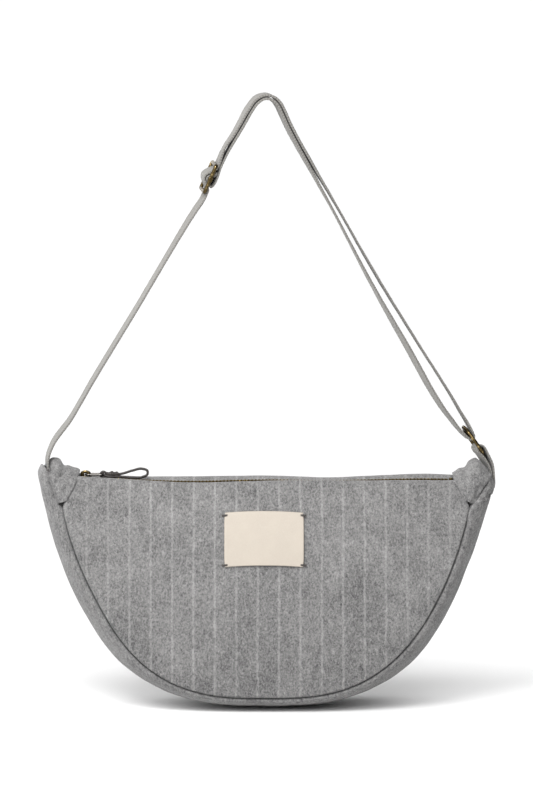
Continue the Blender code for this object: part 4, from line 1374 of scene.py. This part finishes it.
def ring_tab_route(line):
    """The ring tab's loop: up beside the ring, round its wire and down again."""
    marks, _, spreads = line
    close = (WEBBING + CLEAR) / 2
    offsets = close + spreads * (RING_TAB_SPREAD - close)
    strand = list(zip(marks, offsets))[1:]
    return strand[::-1] + ring_fold(0.0, -1) + [(mark, -offset) for mark, offset in strand]


def strap_turn(point, offset):
    """How far the strap's width is turned about the upright at a point, in degrees."""
    if point.x > 0.0:
        heights, inner, outer = zip(*STRAP_TWIST)
        return float(smooth_values(heights, outer if offset > 0 else inner, point.z))
    if offset != 0.0:
        return TOP_TURN * bump(point.z, -0.030, 0.018)
    return SINGLE_TURN


def webbing_piece(name, node, line, route, gap_turn=None):
    """Flat webbing with thick selvedges along a route beside a middle line. The ring tab is
    turned between its two ends, and the strap as its own table says."""
    knots = []
    for place, offset in route:
        point, _, wide, outward = frame_at(line, place)
        if gap_turn is None:
            turn = strap_turn(point, offset)
        else:
            turn = gap_turn * min(max(min(place, line[0][-2] - place) / (3 * MM), 0.0), 1.0)
        wide = Matrix.Rotation(math.radians(turn), 3, "Z") @ wide
        doubled = gap_turn is None and 1.2 * MM < abs(offset) < 3.0 * MM and point.z > -0.07
        knots.append((*(point + outward * offset), *wide, STRAND_PAD if doubled else 0.0))
    knots = np.array(knots)
    marks = lengths_along(knots[:, :3])
    at = [0.0]
    for low, high in zip(marks, marks[1:]):
        steps = 2 + int((high - low) / (2.2 * MM))
        at += list(np.linspace(low, high, steps + 1)[1:])
    at = np.array(at)
    values = smooth_values(marks, knots, at)
    centres = values[:, :3]
    wide = unit(values[:, 3:6])
    ahead = unit(np.gradient(centres, axis=0))
    wide = unit(wide - ahead * (wide * ahead).sum(1, keepdims=True))
    proud = np.cross(ahead, wide)
    centres = centres + proud * (0.10 * MM * waves(centres, 11 * MM, 30.0))[:, None]
    section = np.array(WEBBING_SECTION)
    section = np.concatenate([section, (section * (-1.0, 1.0))[-2::-1]])
    section = np.concatenate([section, (section * (1.0, -1.0))[-2:0:-1]])
    across = section[:, 0] * WEBBING_WIDTH / 2
    thick = section[:, 1] * WEBBING_LOFT * WEBBING / 2
    thick = thick + np.minimum(0.0, np.sign(section[:, 1])) * values[:, 6:7]
    points = (
        centres[:, None]
        + wide[:, None] * across[None, :, None]
        + proud[:, None] * thick[..., None]
    )
    faces = [face[::-1] for face in tube_faces(*points.shape[:2])]
    weave = made_once(webbing_material, "webbing_weave")
    item = object_from(name, (points, faces), weave, node)
    mark(item, "cloth", "FLOAT_VECTOR", "vector", columns_of(across[None], at[:, None], 0.0))


def in_place(shape, place):
    """A shape made along X (length) and Y (width), stood in a frame of the webbing."""
    points, faces = shape
    point, ahead, wide, outward = place
    return points @ np.array((ahead, wide, outward)) + np.array(point), faces


class BELTBAG_OT_panels(bpy.types.Operator):
    """Makes the front and back panels of striped felt"""

    bl_idname = "belt_bag.panels"
    bl_label = "Panels"

    def execute(self, context):
        felt = made_once(felt_material, "wool_felt_striped", True)
        felt_panel("front_panel_felt", "front_panel", -1, FRONT_WAVE, felt)
        felt_panel("back_panel_felt", "back_panel", 1, BACK_WAVE, felt)
        return {"FINISHED"}


class BELTBAG_OT_gusset(bpy.types.Operator):
    """Makes the gusset and the two end tabs of plain felt"""

    bl_idname = "belt_bag.gusset"
    bl_label = "Gusset and end tabs"

    def execute(self, context):
        felt = made_once(felt_material, "wool_felt_plain", False)
        felt_gusset(felt)
        left = (LEFT_TAB_INNER, LEFT_TAB_OUTER, LEFT_HUMPS, LEFT_END_FOLDS, LEFT_LIP)
        right = (RIGHT_TAB_INNER, RIGHT_TAB_OUTER, RIGHT_HUMPS, RIGHT_END_FOLDS, RIGHT_LIP)
        felt_tab("end_tab_left_felt", "end_tab_left", -1, *left, felt)
        felt_tab("end_tab_right_felt", "end_tab_right", 1, *right, felt)
        return {"FINISHED"}


def slider_centre():
    x = -ZIP_HALF + CLEAR + ZIP_SLIDER_LENGTH / 2
    return x, 0.0, float(chain_height(np.array(x)))


class BELTBAG_OT_zip(bpy.types.Operator):
    """Makes the zip's tapes, teeth, stop and slider"""

    bl_idname = "belt_bag.zip"
    bl_label = "Zip"

    def execute(self, context):
        centre = slider_centre()
        left = centre[0] - ZIP_SLIDER_LENGTH / 2 + 2 * ZIP_SLIDER_PLATE + CLEAR
        right = ZIP_HALF - END_STOP_LENGTH - 2 * CLEAR
        tape = made_once(tape_material, "zip_tape_twill")
        zip_tape("tape_front_twill", "zip_tape_front", -1, FRONT_WAVE, left, tape)
        zip_tape("tape_back_twill", "zip_tape_back", 1, BACK_WAVE, left, tape)
        zip_chain(left, right)
        x = right + CLEAR + END_STOP_LENGTH / 2
        z = float(chain_height(np.array(right + CLEAR))) + 0.7 * MM
        size = (END_STOP_LENGTH, 0.9 * CHAIN_WIDTH, 1.7 * CHAIN_THICKNESS)
        rib = (0.5 * MM, 0.96 * CHAIN_WIDTH, 1.8 * CHAIN_THICKNESS)
        shapes = [rounded_block((x, 0.0, z), size, 0.6 * MM)]
        for shift in (-0.8 * MM, 0.8 * MM):
            shapes.append(rounded_block((x + shift, 0.0, z), rib, 0.2 * MM))
        zip_brass("end_stop_brass", joined(shapes), "zip_end_stop")
        zip_brass("zip_slider_brass", zip_slider_parts(centre), "zip_slider")
        return {"FINISHED"}


class BELTBAG_OT_pull(bpy.types.Operator):
    """Makes the pull's wire loop and its knotted leather thong"""

    bl_idname = "belt_bag.pull"
    bl_label = "Pull"

    def execute(self, context):
        x, y, z = slider_centre()
        z += CHAIN_THICKNESS / 2 + 2 * CLEAR + ZIP_SLIDER_PLATE + PULL_WIRE / 2
        loop = rounded_loop(0.0, PULL_WIRE_LENGTH, PULL_WIRE_WIDTH / 2, PULL_WIRE_CORNER)
        wire = moved(sweep(evened(loop, 0.5 * MM), PULL_WIRE / 2, 14, closed=True), (x, y, z))
        grey = settings().trim.steel
        steel = made_once(metal_material, "dull_steel", grey, toned(grey, 1.5), 0.28, 0.08)
        object_from("pull_wire_steel", wire, steel, "pull_wire", "pull")
        thong = moved(self.thong(), (x, y, z))
        lace = made_once(leather_material, "waxed_lace")
        object_from("pull_thong_leather", thong, lace, "pull_thong", "pull")
        return {"FINISHED"}

    def thong(self):
        """Two eyes round the wire, the knot's turns over its core, and the open loop."""
        radius = THONG / 2
        eye = PULL_WIRE / 2 + CLEAR + radius
        knot_x = PULL_WIRE_LENGTH + PULL_WIRE / 2 + 2 * CLEAR + KNOT_LENGTH / 2
        knot_end = knot_x + KNOT_LENGTH / 2
        angles = np.linspace(0.0, 2 * math.pi, 40, endpoint=False)
        shapes = []
        for side in (-1, 1):
            y = side * 0.95 * radius + 0.25 * radius * np.sin(angles)
            x = PULL_WIRE_LENGTH + 1.05 * eye * np.cos(angles)
            ring = columns_of(x, y, 0.92 * eye * np.sin(angles))
            shapes.append(sweep(ring, 0.9 * radius, closed=True))
        shares = np.linspace(0.0, 1.0, 120)
        swell = np.sin(math.pi * shares) ** 0.5
        turns = 2 * math.pi * KNOT_TURNS * shares + 0.5
        x = knot_x + (shares - 0.5) * (KNOT_LENGTH - 1.6 * radius)
        y = 1.75 * MM * swell * np.cos(turns)
        coil = columns_of(x, y, 1.45 * MM * swell * np.sin(turns))
        shapes.append(sweep(coil, 1.2 * radius))
        core = columns_of(np.linspace(PULL_WIRE_LENGTH + eye, knot_end, 20), 0.0, 0.0)
        plump = 1.0 + 0.9 * np.sin(math.pi * np.linspace(0.08, 1.0, 20)) ** 0.8
        shapes.append(sweep(core, plump * radius))
        along, up, forward = np.array(THONG_LOOP).T
        x = knot_end + along * THONG_LOOP_LENGTH
        bends = columns_of(x, -forward * THONG, up * THONG_LOOP_RISE)
        marks = lengths_along(bends)
        route = smooth_values(marks, bends, np.linspace(0.0, marks[-1], 110))
        shapes.append(sweep(route, 1.12 * radius, flat=0.9))
        return joined(shapes)


class BELTBAG_OT_label(bpy.types.Operator):
    """Makes the bare cream patch and its corner stitches"""

    bl_idname = "belt_bag.label"
    bl_label = "Label"

    def surface_y(self, x, z):
        return -half_depth(x, z) - CLEAR - LABEL_THICKNESS

    def execute(self, context):
        across = eased(np.linspace(-1.0, 1.0, 90), 1.2) / 2
        up = eased(np.linspace(1.0, -1.0, 64), 1.2) / 2
        across, up = np.meshgrid(across, up)
        corner = bump(0.5 - np.abs(across), 0.0, 3 * MM / LABEL_WIDTH)
        corner *= bump(0.5 - np.abs(up), 0.0, 4 * MM / LABEL_HEIGHT)
        x = across * (LABEL_WIDTH - LABEL_TRIM - 1.2 * MM * corner) - LABEL_SHIFT
        bow = LABEL_BOW * (1.0 - 4.0 * across**2)
        z = MOUTH_Z - LABEL_DROP + up * (LABEL_HEIGHT - LABEL_TRIM) + bow - 0.4 * MM
        points = columns_of(x, self.surface_y(x, z), z)[:, ::-1]
        border = np.concatenate(
            [points[0], points[1:, -1], points[-1, -2::-1], points[-2:0:-1, 0], points[:1, 0]]
        )
        points[..., 1] += rolled(near(distances(points, border), 1.0 * MM), 0.45 * MM)
        points[..., 1] += 0.10 * MM * waves(points, 13 * MM, 40.0) - 0.25 * MM
        cream = made_once(label_material, "cream_leather")
        thickness = LABEL_THICKNESS - 0.1 * MM
        sheet_from("label_patch", points, cream, "label", thickness)
        stitches("label_stitches", [self.stitch(*place) for place in LABEL_STITCHES])
        return {"FINISHED"}

    def stitch(self, side, up, inset):
        """One of the two stitches that cross the patch's side at a corner."""
        inner = side * (LABEL_WIDTH / 2 - 2.9 * MM) - LABEL_SHIFT
        outer = side * (LABEL_WIDTH / 2 + 1.3 * MM) - LABEL_SHIFT
        high = MOUTH_Z - LABEL_DROP + up * LABEL_HEIGHT / 2 + inset * MM
        low = high - 0.3 * MM
        start = (inner, self.surface_y(inner, high) - 0.1 * MM, high)
        end = (outer, self.surface_y(outer, low) + 0.5 * MM, low)
        return thread_stitch(start, end, (0.0, -0.6 * MM, 0.0), 0.38 * MM)


class BELTBAG_OT_strap(bpy.types.Operator):
    """Makes the strap, the ring tab and the stitches at the left slit"""

    bl_idname = "belt_bag.strap"
    bl_label = "Strap"

    def execute(self, context):
        x, out, z = border_point(-1, *LEFT_GUSSET_END[0][1:4])
        shapes = []
        for side, drop in ((-1, 0.0), (-1, 1.1 * MM), (1, 0.0), (1, 1.1 * MM)):
            start = (x - 1.0 * MM, side * (out + 0.4 * MM), z - 0.1 * MM - drop)
            end = (x + 1.6 * MM, side * (out + 0.6 * MM), z - 1.4 * MM - drop)
            shapes.append(thread_stitch(start, end, (0.0, side * 1.3 * MM, 0.0), 0.34 * MM))
        stitches("slit_stitches", shapes)
        line = route_line(STRAP_ROUTE)
        webbing_piece("strap_webbing", "strap", line, strap_route(line))
        line = route_line(RING_TAB_ROUTE)
        webbing_piece("ring_tab_webbing", "ring_tab", line, ring_tab_route(line), RING_TAB_TURN)
        return {"FINISHED"}


class BELTBAG_OT_metalwork(bpy.types.Operator):
    """Makes the three-bar slider and the ring"""

    bl_idname = "belt_bag.metalwork"
    bl_label = "Slider and ring"

    def execute(self, context):
        line = route_line(STRAP_ROUTE)
        marks = dict(zip([row[0] for row in STRAP_ROUTE], line[0]))
        radius = STRAP_SLIDER_WIRE / 2
        reach = STRAP_SLIDER_LENGTH / 2 - radius
        half = WEBBING_WIDTH / 2 + STRAP_SLIDER_SIDE_GAP + radius
        loop = evened(rounded_loop(-reach, reach, half, STRAP_SLIDER_CORNER), 0.8 * MM)
        bar = columns_of(0.0, np.linspace(-half, half, 24), 0.0)
        shapes = [sweep(loop, 1.28 * radius, 16, closed=True), sweep(bar, 0.93 * radius, 16)]
        for side in (-1, 1):
            lug = (0.0, side * (half + 0.2 * MM), 0.0)
            shapes.append(rounded_block(lug, (4.2 * MM, 2.8 * MM, 3.6 * MM), 0.7 * MM))
        angles = np.linspace(0.0, 2 * math.pi, 96, endpoint=False)
        circle = columns_of(np.cos(angles), np.sin(angles), 0.0) * (RING_INNER + RING_WIRE) / 2
        ring = sweep(circle, RING_WIRE / 2, 18, closed=True)
        aged = brass("aged_cast_brass", 0.09)
        slider = in_place(joined(shapes), frame_at(line, marks["slider"]))
        object_from("strap_slider_brass", slider, aged, "strap_slider")
        ring = in_place(ring, frame_at(line, marks["ring"]))
        object_from("strap_ring_brass", ring, aged, "strap_ring")
        return {"FINISHED"}


def aimed(name, data, location, toward):
    """A light or camera that looks along a direction."""
    item = bpy.data.objects.new(name, data)
    item.location = location
    item.rotation_euler = toward.to_track_quat("-Z", "Y").to_euler()
    bpy.context.scene.collection.objects.link(item)
    return item


class BELTBAG_OT_stage(bpy.types.Operator):
    """Makes the floor, the lights and the camera"""

    bl_idname = "belt_bag.stage"
    bl_label = "Stage"

    def execute(self, context):
        stage = settings().stage
        self.make_floor(context.scene, stage.floor)
        world = bpy.data.worlds.new("room")
        world.use_nodes = True
        self.light_room(Nodes(world.node_tree), stage.sky)
        context.scene.world = world
        context.scene.view_settings.view_transform = "Standard"

        sun = bpy.data.lights.new("key", "SUN")
        sun.energy = stage.key
        sun.angle = stage.key_spread
        aimed("key", sun, (0.0, 0.0, 0.0), Vector((0.09, 1.0, -0.95)))
        side = bpy.data.lights.new("side", "AREA")
        side.shape = "DISK"
        side.size = 0.5
        side.energy = stage.side
        aim = Vector((0.0004, 0.0, -0.239))
        side_place = Vector((-0.24, -0.52, 0.26))
        aimed("side", side, side_place, aim - side_place)

        camera = bpy.data.cameras.new("camera")
        camera.sensor_width = 36.0
        camera.lens = camera.sensor_width * stage.distance / stage.frame_height
        camera.clip_end = 50.0
        away = Vector((0.0, -math.cos(stage.elevation), math.sin(stage.elevation)))
        context.scene.camera = aimed("camera", camera, aim + away * stage.distance, -away)
        return {"FINISHED"}

    def make_floor(self, scene, white):
        shape = bmesh.new()
        bmesh.ops.create_grid(shape, x_segments=1, y_segments=1, size=40.0)
        mesh = bpy.data.meshes.new("floor")
        shape.to_mesh(mesh)
        shape.free()
        floor = bpy.data.objects.new("floor", mesh)
        floor.location = (0.0, 0.0, SOLIDS_BOX[0][2] - 0.3 * MM)
        scene.collection.objects.link(floor)
        paint = Paint("floor_paper", 0.9, Specular_IOR_Level=0.1)
        grain = paint.speckle(paint.place, 4 * MM, 2.0, 0.5)
        tone = paint.mixed(grain, toned(white, 0.985), tuple(white))
        mesh.materials.append(paint.cover(Base_Color=tone))

    def light_room(self, nodes, strength):
        """A white room, dimmer at the right and low behind the camera."""
        view = nodes.tree.nodes.new("ShaderNodeTexCoord").outputs["Generated"]
        x, y, z = nodes.split(view)
        across = nodes.between(x, -1.0, 1.0, 0.58, -0.58)
        depth = nodes.between(y, -0.6, 0.75, -0.55, 0.12)
        height = nodes.between(z, 0.12, 0.45, 0.0, -0.18)
        total = nodes.plus(nodes.plus(across, depth), height)
        backdrop = nodes.tree.nodes["Background"].inputs
        nodes.put(nodes.scaled(total, strength, strength), backdrop["Strength"])
        backdrop["Color"].default_value = (1.0, 1.0, 1.0, 1.0)


class BELTBAG_PT_panel(bpy.types.Panel):
    """Lists the steps that make the belt bag, and their settings"""

    bl_idname = "BELTBAG_PT_panel"
    bl_label = "Belt bag"
    bl_space_type = "VIEW_3D"
    bl_region_type = "UI"
    bl_category = "Belt bag"

    def draw(self, context):
        for step in STEPS:
            self.layout.operator(step.bl_idname)
        bag = context.scene.belt_bag
        for group in (bag.felt, bag.webbing, bag.trim, bag.stage):
            for name in group.__annotations__:
                self.layout.prop(group, name)


GROUPS = (FeltSettings, WebbingSettings, TrimSettings, StageSettings, BeltBagSettings)
STEPS = (
    BELTBAG_OT_stage,
    BELTBAG_OT_panels,
    BELTBAG_OT_gusset,
    BELTBAG_OT_zip,
    BELTBAG_OT_pull,
    BELTBAG_OT_label,
    BELTBAG_OT_strap,
    BELTBAG_OT_metalwork,
)


def register():
    for item in (*GROUPS, *STEPS, BELTBAG_PT_panel):
        bpy.utils.register_class(item)
    bpy.types.Scene.belt_bag = PointerProperty(type=BeltBagSettings)


def unregister():
    del bpy.types.Scene.belt_bag
    for item in reversed((*GROUPS, *STEPS, BELTBAG_PT_panel)):
        bpy.utils.unregister_class(item)


def main():
    register()
    bpy.ops.belt_bag.stage()
    bpy.ops.belt_bag.panels()
    bpy.ops.belt_bag.gusset()
    bpy.ops.belt_bag.zip()
    bpy.ops.belt_bag.pull()
    bpy.ops.belt_bag.label()
    bpy.ops.belt_bag.strap()
    bpy.ops.belt_bag.metalwork()
    bpy.context.view_layer.update()


if __name__ == "__main__":
    main()
